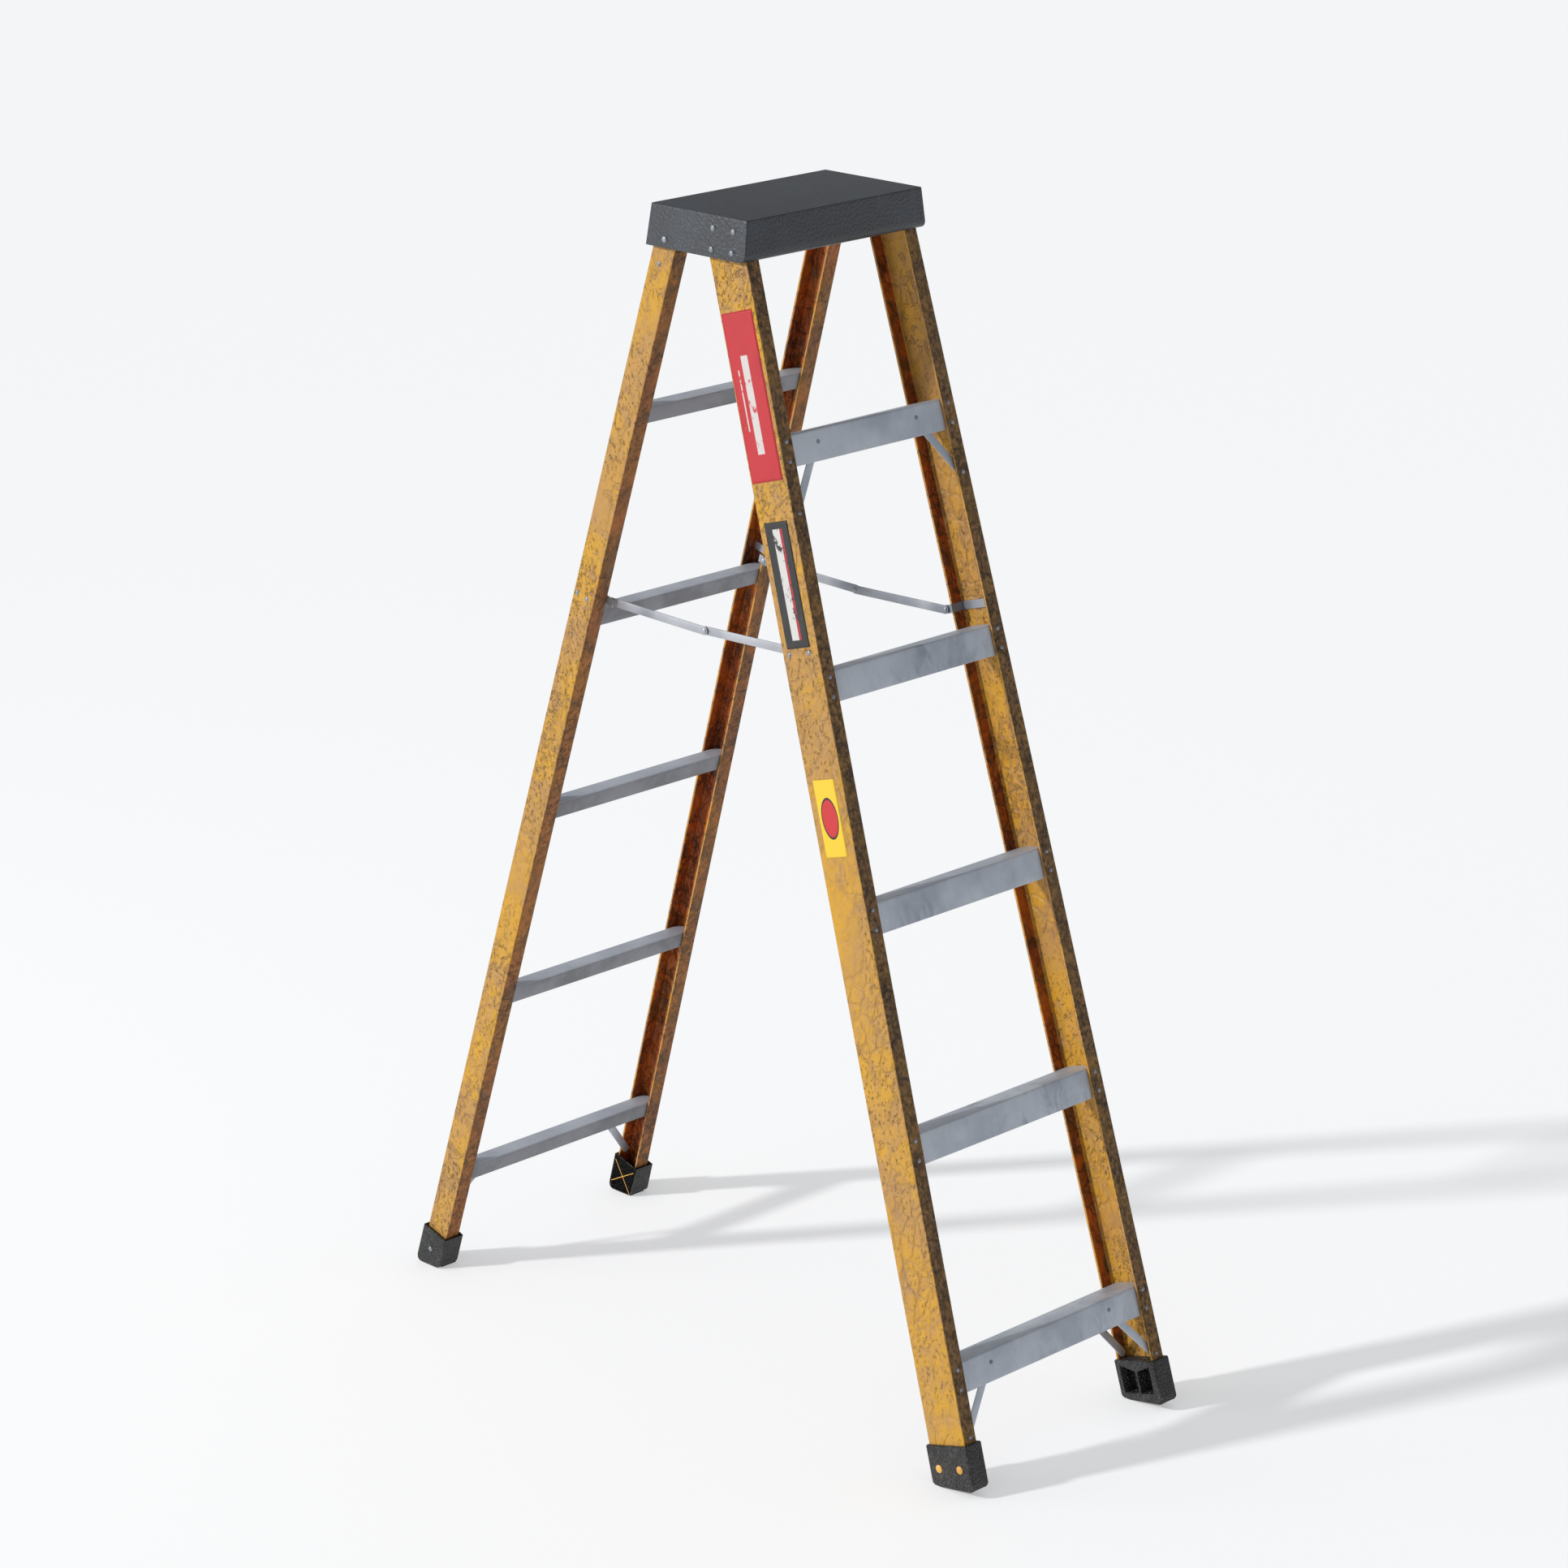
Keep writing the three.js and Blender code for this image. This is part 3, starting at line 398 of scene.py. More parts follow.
CAP_PLASTIC = moulded("cap_plastic_skin", colour(30, 34, 40), colour(42, 48, 57), 150.0, 0.0005, 0.42)
FOOT_PLASTIC = moulded("foot_plastic_skin", colour(26, 26, 26), colour(54, 51, 48), 190.0, 0.0045, 0.44)
YELLOW = moulded("yellow_plastic_skin", colour(214, 152, 52), colour(232, 176, 76), 400.0, 0.0003, 0.3)
FIBRE, ALU, ZINC = fibre.material, alu.material, zinc.material

rivet = Finish("rivet_steel", Metallic=0.7, Roughness=0.45)
shade = rivet.noise(220.0, 4.0)
rivet.set("Base Color", rivet.mix(shade.step(0.4, 0.6), colour(150, 157, 168), colour(118, 124, 134)))
RIVET = rivet.material
print("finishes:", [m.name for m in bpy.data.materials])


# %% [markdown]
# ## The rails
# A rail is a channel: a web with a flange at each edge. One closed outline of that section, with
# rounded corners, is carried up the rail. One number is high on the narrow front face, which is
# painted darker there, part dirt and part painted shade, and the `rust` number is high on the faces
# inside the channel.

# %% Channel rails
def channel(depth, flange, wall):
    """The section's outline in (u, d): a web along d, and a flange at each end that reaches along u."""
    corners = [(0, 0), (flange, 0), (flange, wall), (wall, wall), (wall, depth - wall),
               (flange, depth - wall), (flange, depth), (0, depth)]
    return rounded(corners, [0.0028, 0.0013, 0.0013, 0.003, 0.003, 0.0013, 0.0013, 0.0028], 6)


def rail(part, side, sizes, low, high, edge_shade_and_dirt, rusty_web, rusty_edge):
    """The section carried up the rail from low to high, in steps of about 12 mm."""
    line = channel(**sizes)
    u, d = line[:, 0], line[:, 1]
    wall, depth = sizes["wall"], sizes["depth"]
    way, front_d = (1, 0.0) if part == "front" else (-1, depth)
    s = np.linspace(low, high, int((high - low) / 0.012))[:, None]
    grid = on_rail(part, side, u[None], way * d[None], s)
    inside = (u > wall * 0.9) & (d > wall * 0.8) & (d < depth - wall * 0.8)
    flange_in = inside & ((d < wall * 1.2) | (d > depth - wall * 1.2))
    web_in = inside & ~flange_in
    front_face = np.abs(d - front_d) < 0.0006
    ones = np.ones_like(s)
    # the front face is marked for its dark brown: part dirt, part painted shade
    shade_and_dirt_there = edge_shade_and_dirt * front_face
    rust_there = flange_in * 0.95 + web_in * rusty_web + front_face * rusty_edge
    name = f"{'left' if side < 0 else 'right'}_{part}_rail"
    return tube(f"{name}_skin", grid, f"{part}_frame", "rail_fibreglass", FIBRE, stands_for=[name],
                layers={"shade_and_dirt": ones * shade_and_dirt_there[None], "rust": ones * rust_there[None]})


for side in (-1, 1):
    # the first amount darkens the front face: part dirt, part painted shade
    rail("front", side, FRONT_RAIL, 0.0275, 1.7355, edge_shade_and_dirt=0.9, rusty_web=0.1, rusty_edge=0.0)
    rail("rear", side, REAR_RAIL, 0.0205, 1.725, edge_shade_and_dirt=0.6, rusty_web=0.95, rusty_edge=0.45)


# %% [markdown]
# ## Steps and rungs
# Each step is one strip of sheet folded twice: a deep front face, a tread and a short lip behind. The
# outline of the folded strip is carried across the ladder. The rungs behind are the same shape,
# smaller, and their treads are level while the frame leans, so their outline is skewed.

# %% Folded sheet across the ladder
PITCH, FIRST_STEP, FIRST_RUNG = 0.3048, 0.1757, 0.1691
COS = {k: math.cos(v) for k, v in LEAN.items()}
TAN = {k: math.tan(v) for k, v in LEAN.items()}


def folded(face, depth, lip, t, fall=0.0):
    """The strip's outline in (d, s) about the tread's front edge. The tread falls by `fall` rearwards."""
    drop = fall / depth
    corners = [(0, -face), (t, -face), (t, -t - t * drop), (depth - t, -t - fall), (depth - t, -fall - lip),
               (depth, -fall - lip), (depth, -fall), (0, 0)]
    return rounded(corners, [0.0009, 0.0009, 0.0014, 0.0014, 0.0009, 0.0009, 0.0032, 0.0032], 5)


def across(name, part, line, front, top, half, material=ALU, grime_and_shade=0.0):
    """The outline carried along x from one rail to the other, in 40 equal stretches, with painted shade on
    its front.
    """
    x = np.linspace(-half, half, 41)[:, None]
    grid = in_room(part, x, front + line[None, :, 0], top + line[None, :, 1])
    # painted shade on the front face, by the given amount
    shade_and_dirt = grime_and_shade * np.ones_like(x) * (line[None, :, 0] < line[:, 0].min() + 0.0004)
    return tube(f"{name}_sheet", grid, f"{part}_frame", "step_aluminium", material, stands_for=[name],
                layers={"shade_and_dirt": shade_and_dirt})


GAP = 0.0003
RUNG_TREAD = 0.0325
RUNG_RUN, RUNG_FALL = RUNG_TREAD * COS["rear"], RUNG_TREAD * math.sin(LEAN["rear"])
STEP_LINE = folded(face=0.0428, depth=0.0513, lip=0.02, t=0.002)
RUNG_LINE = folded(face=0.0258, depth=RUNG_RUN, lip=0.018, t=0.0018, fall=RUNG_FALL)
STEP_TOPS, RUNG_TOPS = [], []
for n in range(5):
    front = FRONT_RAIL["wall"] + GAP
    top = (FIRST_STEP + n * PITCH) / COS["front"] + front * TAN["front"]
    STEP_TOPS.append(top)
    half = HALF["front"] - top * TAPER["front"] - FRONT_RAIL["wall"] - GAP
    across(f"step_{n + 1}", "front", STEP_LINE, front, top, half)
    front = -REAR_RAIL["depth"] + REAR_RAIL["wall"] + GAP
    top = (FIRST_RUNG + n * PITCH) / COS["rear"] - front * TAN["rear"]
    RUNG_TOPS.append(top)
    half = HALF["rear"] - top * TAPER["rear"] - REAR_RAIL["wall"] - GAP
    # the rungs' fronts get painted shade
    across(f"rear_rung_{n + 1}", "rear", RUNG_LINE, front, top, half, rung_alu.material, grime_and_shade=0.8)
print("step heights along the rails:", [round(t, 3) for t in STEP_TOPS])

# %% [markdown]
# ## The top cap
# The cap is a moulded lid: a shallow box with sloping skirts, open below. It is drawn as a stack of
# rounded rectangles that starts at the ceiling inside, comes down the inner wall, turns round the rim
# and goes up the outer wall and over the top edge.

# %% The cap
def rounded_rectangle(x0, x1, y0, y1, radius, count=9):
    """Points round a rectangle whose corners are arcs, from the middle of each corner's circle."""
    turn = np.linspace(0, np.pi / 2, count)[None] + np.arange(4)[:, None] * np.pi / 2
    cx = np.array([x1 - radius, x0 + radius, x0 + radius, x1 - radius])[:, None]
    cy = np.array([y1 - radius, y1 - radius, y0 + radius, y0 + radius])[:, None]
    return np.stack([cx + radius * np.cos(turn), cy + radius * np.sin(turn)], -1).reshape(-1, 2)


CAP_HEIGHT = 0.0566
CAP_TOP = dict(side=HALF_AT_CAP["front"] + 0.0054, front=-0.1112, rear=0.0741)
FLARE = dict(side=0.007, front=0.0024, rear=0.0053)  # how far each skirt leans out over its height
FRONT_ROUND, TOP_ROUND, RIM_ROUND = 0.0105, 0.0013, 0.0005
CORNER, INNER_CORNER = 0.0022, 0.002


def cap_ring(z, wall=0.0, radius=CORNER):
    """The outline at a height, moved in by `wall`. The front skirt rounds in at its lower edge."""
    down = (HEIGHT - z) / CAP_HEIGHT
    x = CAP_TOP["side"] + FLARE["side"] * down - wall
    above = np.clip(z - (HEIGHT - CAP_HEIGHT), 0, FRONT_ROUND)
    rounding = FRONT_ROUND - math.sqrt(max(FRONT_ROUND**2 - (FRONT_ROUND - above) ** 2, 0))
    front = CAP_TOP["front"] - FLARE["front"] * down + wall + rounding
    rear = CAP_TOP["rear"] + FLARE["rear"] * down - wall
    ring = rounded_rectangle(-x, x, front + SHIFT, rear + SHIFT, radius)
    return np.column_stack([ring, np.full(len(ring), z)])


low = HEIGHT - CAP_HEIGHT
turn = np.linspace(0, np.pi / 2, 6)
inner = [(HEIGHT - 0.005, 0.0045), (low + 0.02, 0.0038), (low + 0.001, 0.0036), (low, 0.0028), (low, 0.0006)]
rings = [cap_ring(z, wall, INNER_CORNER) for z, wall in inner]
rings.append(cap_ring(low + RIM_ROUND))
rings += [cap_ring(low + FRONT_ROUND * (1 - math.cos(a)) + RIM_ROUND) for a in turn[1:]]
rings += [cap_ring(z) for z in np.linspace(low + 0.015, HEIGHT - 0.006, 5)]
rings += [cap_ring(HEIGHT - TOP_ROUND * (1 - math.sin(a)), TOP_ROUND * (1 - math.cos(a))) for a in turn]
grid = np.array(rings)
tube("top_cap_shell", grid, "front_frame", "cap_plastic", CAP_PLASTIC, stands_for=["top_cap"])
print("cap rings:", len(rings))

# %% [markdown]
# ## Rivets
# A rivet's head is a low dome turned about its axis. The same dome is used everywhere, with its size
# and direction changed. Those through the rails' own faces and the steps' fronts are too many to be
# separate pieces, so they are joined in three meshes: front rails, rear rails and step fronts.

# %% Domes
def dome(centre, outward, radius, rise, sink=0.001, sides=24):
    """A quarter ellipse turned about `outward`, on a short neck that sinks into the surface."""
    outward = np.asarray(outward, float) / np.linalg.norm(outward)
    helper = np.array([0, 0, 1.0]) if abs(outward[2]) < 0.9 else np.array([1.0, 0, 0])
    a = np.cross(outward, helper)
    a /= np.linalg.norm(a)
    b = np.cross(outward, a)
    tilt = np.linspace(0, np.pi / 2 * 0.97, 7)
    r = np.concatenate([[radius], radius * np.cos(tilt)])[:, None, None]
    h = np.concatenate([[-sink], rise * np.sin(tilt)])[:, None, None]
    turn = np.linspace(0, 2 * np.pi, sides, endpoint=False)[None, :, None]
    return np.asarray(centre) + r * (a * np.cos(turn) + b * np.sin(turn)) + h * outward


def node_rivet(node, outward, body, slot, material, radius, rise):
    """A dome in place of a rivet of the frame, whose head is at the outer end of that rivet's box."""
    lo, hi = (np.array(v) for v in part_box(node))
    middle = (lo + hi) / 2
    at = hi if outward > 0 else lo
    centre = np.array([at[0] - outward * rise, middle[1], middle[2]])
    piece = dome(centre, (outward, 0, 0), radius, rise, sink=0.004)
    return tube(f"{node}_head", piece, body, slot, material, stands_for=[node])


for name, side in (("left", -1), ("right", 1)):
    for i in range(1, 5):
        node_rivet(f"{name}_cap_rivet_{i}", side, "front_frame", "fastener_steel", ZINC, 0.0042, 0.0016)
    for i in (1, 2):
        node = f"{name}_front_foot_rivet_{i}"
        node_rivet(node, side, "front_frame", "yellow_plastic", YELLOW, 0.006, 0.0022)
    node_rivet(f"{name}_rear_foot_rivet", side, "rear_frame", "fastener_steel", ZINC, 0.004, 0.0016)
    node_rivet(f"{name}_hinge_pin", side, "front_frame", "fastener_steel", ZINC, 0.0046, 0.002)

# %% Rivets through the rails' faces
along_front = np.array([0, -COS["front"], math.sin(LEAN["front"])])
along_rear = np.array([0, COS["rear"], math.sin(LEAN["rear"])])
STEP_RIVET, RUNG_RIVET, BRACKET_RIVET = (0.0031, 0.0013), (0.0028, 0.0012), (0.0037, 0.0014)
BRACE_LOW = {1: 0.083, 5: STEP_TOPS[4] - 0.1035}  # heights of the braces' lower ends, by step
BRACE_REACH = {1: 0.12, 5: 0.094}
BRACE_RIVET_DROP = 0.0169
fronts, rears, step_faces = [], [], []
for side in (-1, 1):
    for top in STEP_TOPS:
        for drop in (0.007, 0.034):
            fronts.append(dome(on_rail("front", side, 0.0125, 0.0, top - drop), along_front, *STEP_RIVET))
    for n, low_s in BRACE_LOW.items():
        fronts.append(dome(on_rail("front", side, 0.013, 0.0, low_s), along_front, *STEP_RIVET))
        on_face = in_room("front", side * BRACE_REACH[n], 0.0049, STEP_TOPS[n - 1] - BRACE_RIVET_DROP)
        step_faces.append(dome(on_face, along_front, *STEP_RIVET))
    for d in (0.0572, 0.0191):
        fronts.append(dome(on_rail("front", side, 0.0, d, 1.1654), (side, 0, 0), *BRACKET_RIVET))
    for d, s in ((-0.0074, 1.1631), (-0.0277, 1.1631), (-0.0189, 1.6764)):
        rears.append(dome(on_rail("rear", side, 0.0, d, s), (side, 0, 0), *BRACKET_RIVET))
    for top in RUNG_TOPS:
        for drop in (0.012, 0.026):
            rears.append(dome(on_rail("rear", side, 0.0125, 0.0, top - drop), along_rear, *RUNG_RIVET))
joined("front_frame_rivets", fronts, "front_frame", "fastener_steel", RIVET)
joined("rear_frame_rivets", rears, "rear_frame", "fastener_steel", RIVET)
joined("step_face_rivets", step_faces, "front_frame", "fastener_steel", RIVET)
print("rivets through faces:", len(fronts), len(rears), len(step_faces))


# %% [markdown]
# ## Feet
# The front feet are thick blocks that the rail ends sit in, with two pockets in the inner face that
# save plastic. They are stacks of rings up the rail. The wall inside a pocket is the same surface
# pushed in. The rear feet are thin cups with an open window on the inner side, crossed by two ribs.

# %% Blocks and cups
def side_ring(u0, u1, d0, d1, radius, count):
    """A rounded rectangle in (u, d), with many points along its sides so that pockets can be pressed in."""
    corners = rounded([(u0, d0), (u1, d0), (u1, d1), (u0, d1)], radius, 6)
    loop = np.vstack([corners, corners[:1]])
    run = np.concatenate([[0], np.cumsum(np.linalg.norm(np.diff(loop, axis=0), axis=1))])
    t = np.linspace(0, run[-1], count, endpoint=False)
    return np.column_stack([np.interp(t, run, loop[:, k]) for k in (0, 1)])


def sole(d, lo, hi, ends, round_by):
    """Height of the sole along d: a ramp, rising as a quarter circle at both ends."""
    along = np.clip((d - lo) / (hi - lo), 0, 1)
    base = ends[0] + (ends[1] - ends[0]) * along
    near = np.minimum(d - lo, hi - d)
    curve = np.clip(round_by - near, 0, round_by)
    return base + round_by - np.sqrt(np.maximum(round_by**2 - curve**2, 0))


BLOCK = dict(u0=-0.0046, u1=0.0274, d0=-0.005, d1=0.0727)
BLOCK_TOP, SOLE_ENDS, SOLE_ROUND = 0.0752, (0.0097, 0.0176), 0.009
RIDGE, HALF_RIDGE = 0.0337, 0.0018  # the wall between the two pockets
POCKET_SIDES, POCKET_FLOOR, POCKET_DEPTH = (0.0076, 0.0627), 0.027, 0.019
ROOF, ROOF_RISE, ROOF_RUN = 0.0589, 0.0093, 0.03


def block_foot(name, side, count=240):
    """Rings from the sole up to the top rim. Pockets push the inner face towards the outer side."""
    outline = side_ring(**BLOCK, radius=0.003, count=count)
    mid = np.array([(BLOCK["u0"] + BLOCK["u1"]) / 2, (BLOCK["d0"] + BLOCK["d1"]) / 2])
    shrunk = lambda k: mid + (outline - mid) * (1 - k / np.abs(outline - mid).max(0))
    under = lambda ring: sole(ring[:, 1], BLOCK["d0"], BLOCK["d1"], SOLE_ENDS, SOLE_ROUND)
    floor = under(outline)
    rows = [(shrunk(k), under(shrunk(k))) for k in (0.012, 0.003)]
    rows += [(shrunk(0.0008), floor + 0.0006), (outline, floor + 0.0024)]
    rows += [(outline, floor + (BLOCK_TOP - 0.0015 - floor) * t) for t in np.linspace(0.06, 1, 90)]
    rim = ((0.0006, 0.0004), (0.0016, 0), (0.0036, 0))
    rows += [(shrunk(k), np.full(count, BLOCK_TOP - fall)) for k, fall in rim]
    ring, s = np.array([r for r, _ in rows]), np.array([h for _, h in rows])
    u, d = ring[..., 0].copy(), ring[..., 1]
    soft = lambda v: np.clip(v / 0.0008, 0, 1)
    roof = ROOF + ROOF_RISE * np.clip(np.abs(d - RIDGE) - HALF_RIDGE, 0, ROOF_RUN) / ROOF_RUN
    for near, far in ((POCKET_SIDES[0], RIDGE - HALF_RIDGE), (RIDGE + HALF_RIDGE, POCKET_SIDES[1])):
        pressed = soft(d - near) * soft(far - d) * soft(s - POCKET_FLOOR) * soft(roof - s)
        u -= POCKET_DEPTH * pressed * (u > BLOCK["u1"] - 0.001)
    grid = on_rail("front", side, u, d, s)
    grid[..., 2] = np.maximum(grid[..., 2], 0.0)
    return tube(f"{name}_block", grid, "front_frame", "foot_plastic", FOOT_PLASTIC, stands_for=[name])


for name, side in (("left_front_foot", -1), ("right_front_foot", 1)):
    block = block_foot(name, side)
    print(block.name, "points:", len(block.data.vertices))


# %% [markdown]
# ## Plates
# A flat bar, a foot's side and a brace are all plates: an outline with a thickness and slightly rounded
# edges. The outline is stacked in rings across the thickness, and the outermost rings are drawn a
# little smaller than the rest, which makes the rounded edge.

# %% Plates and straps
def inset(outline, by):
    """Every point moves inwards at right angles to the line between its neighbours, by the same distance."""
    along = np.roll(outline, -1, 0) - np.roll(outline, 1, 0)
    along /= np.linalg.norm(along, axis=1, keepdims=True)
    area = np.sum(outline[:, 0] * np.roll(outline[:, 1], -1) - np.roll(outline[:, 0], -1) * outline[:, 1])
    return outline + np.sign(area) * by * np.column_stack([-along[:, 1], along[:, 0]])


def plate(outline, w0, w1, edge, place):
    """Rings across the thickness from w0 to w1. `place` turns (first, second, w) into the room."""
    a = np.linspace(0, np.pi / 2, 4)
    shrink = np.concatenate([edge * (1 - np.sin(a)), edge * (1 - np.sin(a[::-1]))])
    depth = np.concatenate([w0 + edge * (1 - np.cos(a)), w1 - edge * (1 - np.cos(a[::-1]))])
    ring = np.array([inset(outline, k) for k in shrink])
    return place(ring[..., 0], ring[..., 1], depth[:, None])


def capsule(a, b, width, count=14):
    """The outline of a bar with half round ends between two points of a plane."""
    a, b = np.asarray(a, float), np.asarray(b, float)
    start = math.atan2(*(b - a)[::-1])
    turn = np.linspace(-np.pi / 2, np.pi / 2, count)
    arc = lambda angle: width / 2 * np.column_stack([np.cos(angle), np.sin(angle)])
    return np.vstack([b + arc(start + turn), a + arc(start + np.pi + turn)])


def strap_in_frame(name, part, a, b, d0, d1, wall=0.0016, width=0.012):
    """A brace between (x, s) points a and b, its near face going from depth d0 at a to d1 at b."""
    a, b = np.array(a), np.array(b)
    run = (b - a) / np.sum((b - a) ** 2)
    along = lambda x, s: (x - a[0]) * run[0] + (s - a[1]) * run[1]
    place = lambda x, s, w: in_room(part, x, d0 + (d1 - d0) * along(x, s) + w, s)
    return tube(f"{name}_strap", plate(capsule(a, b, width), 0.0, wall, 0.0004, place), f"{part}_frame",
                "step_aluminium", ALU, stands_for=[name])


def inside_rail(part, s, inwards):
    """Half the width of the ladder at a height, less `inwards`."""
    return HALF[part] - s * TAPER[part] - inwards


REAR_BRACE_LOW, RUNG_BRACE_LOW, STRAP_TOP_REACH = 0.083, 0.076, 0.113
for name, side in (("left", -1), ("right", 1)):
    for n, low_s in BRACE_LOW.items():
        strap_in_frame(f"{name}_step_{n}_front_brace", "front",
                       (side * inside_rail("front", low_s, 0.013), low_s),
                       (side * BRACE_REACH[n], STEP_TOPS[n - 1] - BRACE_RIVET_DROP), 0.0052, 0.009)
    strap_in_frame(f"{name}_step_1_rear_brace", "front",
                   (side * inside_rail("front", REAR_BRACE_LOW, 0.015), REAR_BRACE_LOW),
                   (side * STRAP_TOP_REACH, STEP_TOPS[0] - 0.01), 0.0632, 0.0572)
    strap_in_frame(f"{name}_rung_1_brace", "rear",
                   (side * inside_rail("rear", RUNG_BRACE_LOW, 0.016), RUNG_BRACE_LOW),
                   (side * STRAP_TOP_REACH, RUNG_TOPS[0] - 0.0186), -0.0062, -0.0103)

# %% [markdown]
# ## Rear feet
# A rear foot is a thin cup that is open at the top and on its inner side: a panel against the rail's
# web, a wall that goes down the back, under the rail and up the front, and a slim bar across the top.

# %% Cups
CUP = dict(rear=0.003, front=-0.047, top=0.0662, skin=0.0022)
HEEL_ROUND, TOE_ROUND = 0.014, 0.0075


def slat(corners):
    """A thin bar's outline, its corners just taken off."""
    return rounded(corners, 0.0003, 3)


def cup_foot(name, side, count=9):
    """The wall is the band between a U-shaped line and the same line inset. The rest are plates."""
    rear_d, front_d, top = CUP["rear"], CUP["front"], CUP["top"]
    on_floor = lambda d: (d, -d * TAN["rear"] + 0.0003)
    corners = [(rear_d, top), on_floor(rear_d), on_floor(front_d), (front_d, top)]
    full = rounded(corners, [0.0008, HEEL_ROUND, TOE_ROUND, 0.0008], count)
    part = slice(count // 2, len(full) - count // 2)
    band = np.vstack([full[part], inset(full, CUP["skin"])[part][::-1]])
    place = lambda d, s, u: on_rail("rear", side, u, d, s)
    back, fore = rear_d - 0.001, front_d + 0.001
    bar = slat([(back, top), (back, top - 0.0024), (fore, top - 0.0024), (fore, top)])
    ledge = slat([(back, 0.008), (back, 0.0105), (front_d + 0.004, 0.0175), (fore, 0.015)])
    parts = [plate(full, -0.0062, -0.0038, 0.0007, place), plate(band, -0.0045, 0.0294, 0.0005, place),
             plate(bar, 0.0272, 0.0293, 0.0003, place), plate(ledge, 0.0, 0.0288, 0.0003, place)]
    for grid in parts:
        grid[..., 2] = np.maximum(grid[..., 2], 0.0)
    return joined(f"{name}_cup", parts, "rear_frame", "foot_plastic", FOOT_PLASTIC, stands_for=[name])


for name, side in (("left_rear_foot", -1), ("right_rear_foot", 1)):
    cup = cup_foot(name, side)
    print(cup.name, "points:", len(cup.data.vertices))

# %% [markdown]
# ## Spreader bars
# Two flat bars on each side meet at a rivet in the middle and keep the frames from sliding apart.

# Each arm's box gives its x range, and the middles of its two rivets' boxes give its ends.

# %% Bars
BAR_WIDTH, BAR_EDGE = 0.012, 0.0004
in_plane = lambda y, z, x: np.stack(np.broadcast_arrays(x, y, z), -1)


def box_of(node):
    """The lower and upper corner of a node's box."""
    return tuple(np.array(v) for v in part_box(node))


for name, side in (("left", -1), ("right", 1)):
    for part in ("front", "rear"):
        node = f"{name}_{part}_arm"
        lo, hi = box_of(node)
        ends = [sum(box_of(f"{name}_{pin}_pivot"))[1:] / 2 for pin in (part, "mid")]
        bar = plate(capsule(*ends, BAR_WIDTH), lo[0], hi[0], BAR_EDGE, in_plane)
        tube(f"{node}_bar", bar, node, "spreader_steel", ZINC, stands_for=[node])
        node_rivet(f"{name}_{part}_pivot", -side, f"{part}_frame", "fastener_steel", ZINC, 0.0044, 0.0016)
        print(node, "length between its rivets:", round(float(np.linalg.norm(ends[1] - ends[0])), 4))
    node_rivet(f"{name}_mid_pivot", side, f"{name}_rear_arm", "fastener_steel", ZINC, 0.0044, 0.0016)
    lo, hi = box_of(f"{name}_front_arm")
    middle = sum(box_of(f"{name}_mid_pivot"))[1:] / 2
    tail = dome((hi[0] if side < 0 else lo[0], *middle), (-side, 0, 0), 0.0038, 0.0014, 0.0005)
    tube(f"{name}_mid_pivot_tail", tail, f"{name}_front_arm", "fastener_steel", ZINC)

# %% [markdown]
# ## What stays as the frame drew it
# The spreaders' brackets and the ribs in the rear feet are flat sheet and thin bars, so the frame's own
# meshes are kept for them and only take a finish.

# %% Finishes for the frame's own pieces
carried = {node: thing for node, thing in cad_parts.items() if not thing.hide_render}
for node, thing in carried.items():
    for place in thing.material_slots:
        place.material = YELLOW if node.endswith("cross") else ZINC
print("carried over, with their slots:", {node: len(thing.material_slots) for node, thing in carried.items()})

# %% [markdown]
# ## Stickers
# Three plain stickers are on the outer face of the left front rail. They carry no words or pictures,
# only blocks of colour, drawn in the sticker's own u and v. A sticker is one sheet a fifth of a
# millimetre off the rail, given its thickness by Solidify.

# %% Stickers
OFF_RAIL, STICKER_THICKNESS = 0.0002, 0.0003
ROWS, COLUMNS = 60, 14


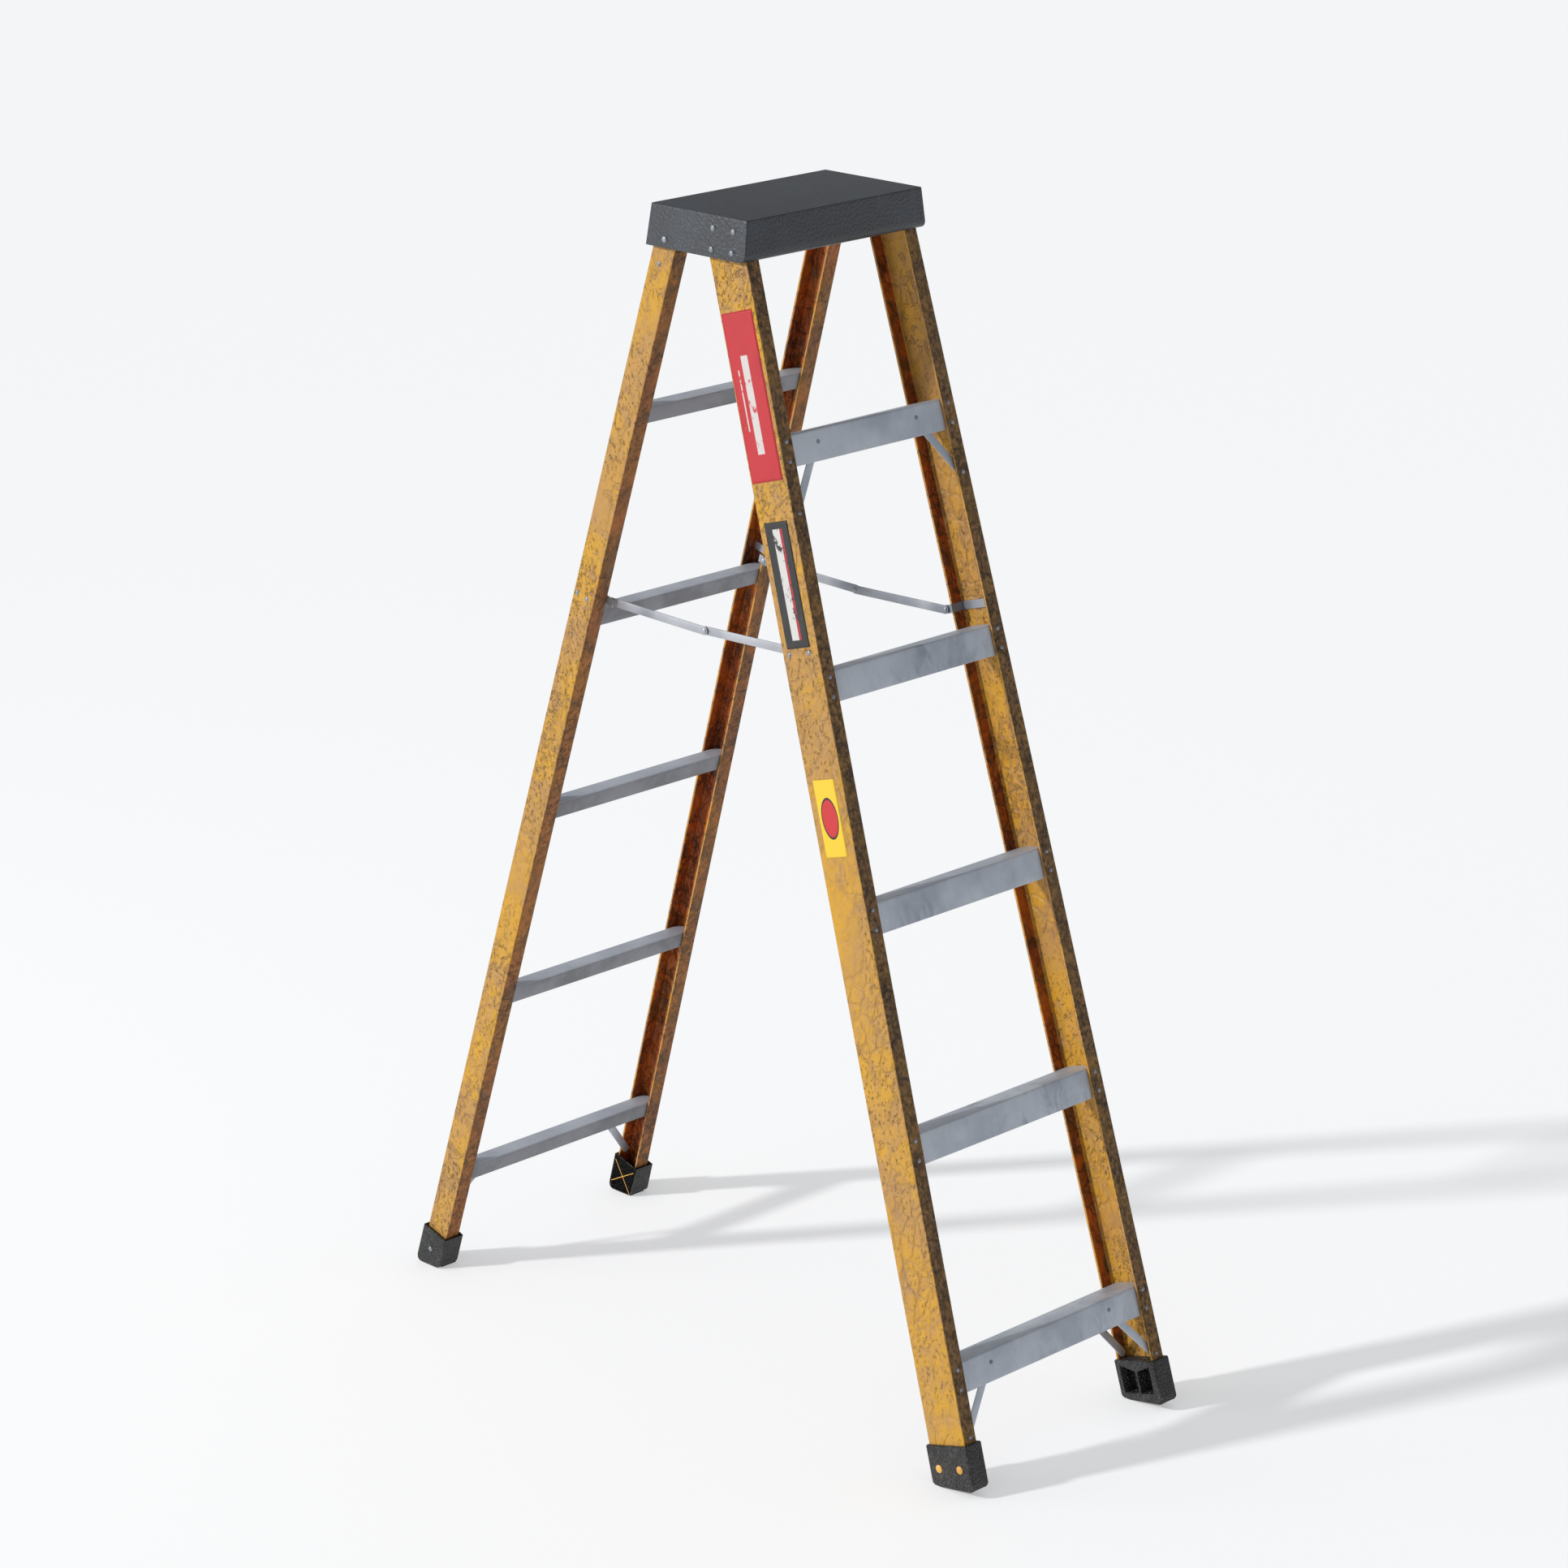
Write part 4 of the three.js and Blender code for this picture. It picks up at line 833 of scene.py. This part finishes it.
def sticker(name, s0, s1, d0, d1, ground, bar, faded, bars, disc=None, line=None):
    """A flat grid on the rail between two heights and two depths. Bars are (v from, v to, u from, u to)."""
    look = Finish(f"{name}_print", IOR=1.5)
    uv = look.node("ShaderNodeUVMap", {"uv_map": "UVMap"}).outputs[0]
    split = look.node("ShaderNodeSeparateXYZ", Vector=uv)
    u, v = Value(look, split.outputs[0]), Value(look, split.outputs[1])
    worn = look.noise(45.0, 8.0, 0.7)
    streak = look.noise(12.0, 6.0, 0.6, stretch=(1, 1, 0.4), warp=1.0)
    inked = look.mix(streak.step(0.45, 0.7) * 0.35, ground, faded)
    inks = [(place, bar) for place in bars] + ([(line, colour(176, 36, 44))] if line else [])
    for (v0, v1, u0, u1), ink in inks:
        along = v.step(v0, v0 + 0.006) * (1 - v.step(v1, v1 + 0.006))
        band = along * u.step(u0, u0 + 0.02) * (1 - u.step(u1, u1 + 0.02))
        inked = look.mix(band * (1 - worn.step(0.54, 0.62)), inked, ink)
    if disc:
        wide_by, tall_by = (u - 0.5) * (d1 - d0), (v - 0.5) * (s1 - s0) * 0.55
        away = (wide_by * wide_by + tall_by * tall_by).math("SQRT")
        inked = look.mix(1 - away.step(disc, disc + 0.0006), inked, colour(40, 34, 30))
        inked = look.mix(1 - away.step(disc - 0.0018, disc - 0.0012), inked, bar)
    look.set("Base Color", look.mix(worn.step(0.62, 0.74) * 0.55, inked, colour(170, 128, 84)))
    look.set("Roughness", 0.32 + worn * 0.3)
    look.bump(worn, 0.0006, 0.35)
    s, d = np.meshgrid(np.linspace(s0, s1, ROWS), np.linspace(d0, d1, COLUMNS), indexing="ij")
    points = on_rail("front", -1, -OFF_RAIL, d, s).reshape(-1, 3)
    i, j = np.meshgrid(np.arange(ROWS - 1), np.arange(COLUMNS - 1), indexing="ij")
    a = (i * COLUMNS + j).ravel()
    faces = np.column_stack([a, a + COLUMNS, a + COLUMNS + 1, a + 1]).tolist()
    flat_uv = np.column_stack([((d - d0) / (d1 - d0)).ravel(), ((s - s0) / (s1 - s0)).ravel()])
    piece = make(name, points, faces, "front_frame", "rail_fibreglass", look.material, uv=flat_uv)
    shell = piece.modifiers.new("thickness", "SOLIDIFY")
    shell.thickness, shell.offset = STICKER_THICKNESS, 0
    return piece


sticker("red_sticker", 1.3985, 1.6275, 0.007, 0.067, colour(186, 30, 40), colour(205, 198, 194),
        colour(140, 28, 36), [(0.16, 0.74, 0.40, 0.62), (0.30, 0.66, 0.74, 0.78)])
sticker("black_sticker", 1.1735, 1.3445, 0.014, 0.059, colour(32, 32, 34), colour(205, 202, 198),
        colour(58, 55, 52), [(0.06, 0.94, 0.38, 0.68)], line=(0.06, 0.94, 0.28, 0.37))
sticker("yellow_sticker", 0.8885, 0.9945, 0.016, 0.057, colour(232, 194, 40), colour(196, 40, 44),
        colour(206, 150, 40), [], disc=0.0155)

# %% [markdown]
# ## Camera, light and floor
# The lens is long, so the ladder keeps nearly parallel sides. The camera's axes come from three turns:
# yaw about the upright, pitch above the horizon, and a very small roll about the view.

# %% The camera
yaw, pitch, roll = -0.7746, -0.3140, -0.0059
ahead = np.array([-math.sin(yaw) * math.cos(pitch), math.cos(yaw) * math.cos(pitch), math.sin(pitch)])
right = np.cross(ahead, [0, 0, 1])
right /= np.linalg.norm(right)
up = np.cross(right, ahead)
turn = math.cos(roll), math.sin(roll)
axes = np.column_stack([turn[0] * right + turn[1] * up, -turn[1] * right + turn[0] * up, -ahead])
lens = bpy.data.cameras.new("camera")
lens.lens, lens.sensor_width, lens.clip_end = 108.71, 36.0, 200.0
camera = bpy.data.objects.new("camera", lens)
bpy.context.scene.collection.objects.link(camera)
place = np.eye(4)
place[:3, :3], place[:3, 3] = axes, (-4.42585, -4.52761 + SHIFT, 2.8940)
camera.matrix_world = Matrix(place.tolist())
bpy.context.scene.camera = camera
print("camera:", tuple(round(v, 3) for v in camera.matrix_world.translation), "lens", round(lens.lens, 1))

# %% [markdown]
# ### Light and floor
# A low sun comes from the left and a little from behind, so it lights the rails' outer webs and leaves
# the steps' fronts in shade. A large pale panel on the same side gives the cap's end a broad gloss, and
# a pale sky fills the shadows. The floor is nearly white and glows a little.

# %% Light and floor
world = bpy.data.worlds.new("sky")
bpy.context.scene.world = world
world.use_nodes = True
world.node_tree.nodes["Background"].inputs[0].default_value = (0.93, 0.96, 1.0, 1)
world.node_tree.nodes["Background"].inputs[1].default_value = 0.40
bpy.context.scene.view_settings.view_transform = "Standard"


def placed(light, at, away):
    """A light at a point, shining against the direction `away`, which points from the scene to the light."""
    lamp = bpy.data.objects.new(light.name, light)
    bpy.context.scene.collection.objects.link(lamp)
    away = np.asarray(away, float) / np.linalg.norm(away)
    x = np.cross([0, 0, 1], away)
    x /= np.linalg.norm(x)
    turned = np.eye(4)
    turned[:3, :3] = np.column_stack([x, np.cross(away, x), away])
    turned[:3, 3] = at
    lamp.matrix_world = Matrix(turned.tolist())


heading, rise = math.radians(152.0), math.radians(27.0)
key = bpy.data.lights.new("key", "SUN")
key.energy, key.angle = 2.15, math.radians(4.0)
level = math.cos(rise)
placed(key, (0, 0, 0), (math.cos(heading) * level, math.sin(heading) * level, math.sin(rise)))

PANEL_AT, PANEL_AIM = np.array([-3.0, 2.7, 1.75]), np.array([0.0, 0.0, 1.3])
panel = bpy.data.lights.new("side_panel", "AREA")
panel.energy, panel.shape, panel.size, panel.size_y = 20.0, "RECTANGLE", 1.6, 2.6
placed(panel, PANEL_AT, PANEL_AT - PANEL_AIM)
print("lights:", key.name, key.energy, panel.name, panel.energy)

FLOOR_HALF, FLOOR_LEVEL = 40.0, -0.0006
corners = [(FLOOR_HALF * x, FLOOR_HALF * y, FLOOR_LEVEL) for x, y in ((-1, -1), (1, -1), (1, 1), (-1, 1))]
floor_mesh = bpy.data.meshes.new("floor")
floor_mesh.from_pydata(corners, [], [(0, 1, 2, 3)])
floor = bpy.data.objects.new("floor", floor_mesh)
bpy.context.scene.collection.objects.link(floor)
paper = Finish("floor_paper", Roughness=0.9)
paper.surface.inputs["Base Color"].default_value = (0.8, 0.8, 0.8, 1)
paper.surface.inputs["Emission Color"].default_value = (1, 1, 1, 1)
paper.surface.inputs["Emission Strength"].default_value = 0.36
floor_mesh.materials.append(paper.material)
floor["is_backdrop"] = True

# %% [markdown]
# The finished surfaces are measured against the frame, and how much larger they are is printed.

VISUAL_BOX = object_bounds()
grown = (VISUAL_BOX[1] - VISUAL_BOX[0]) - (CAD_BOX[1] - CAD_BOX[0])
print("grown by, in mm:", [round(1000 * v, 1) for v in grown])
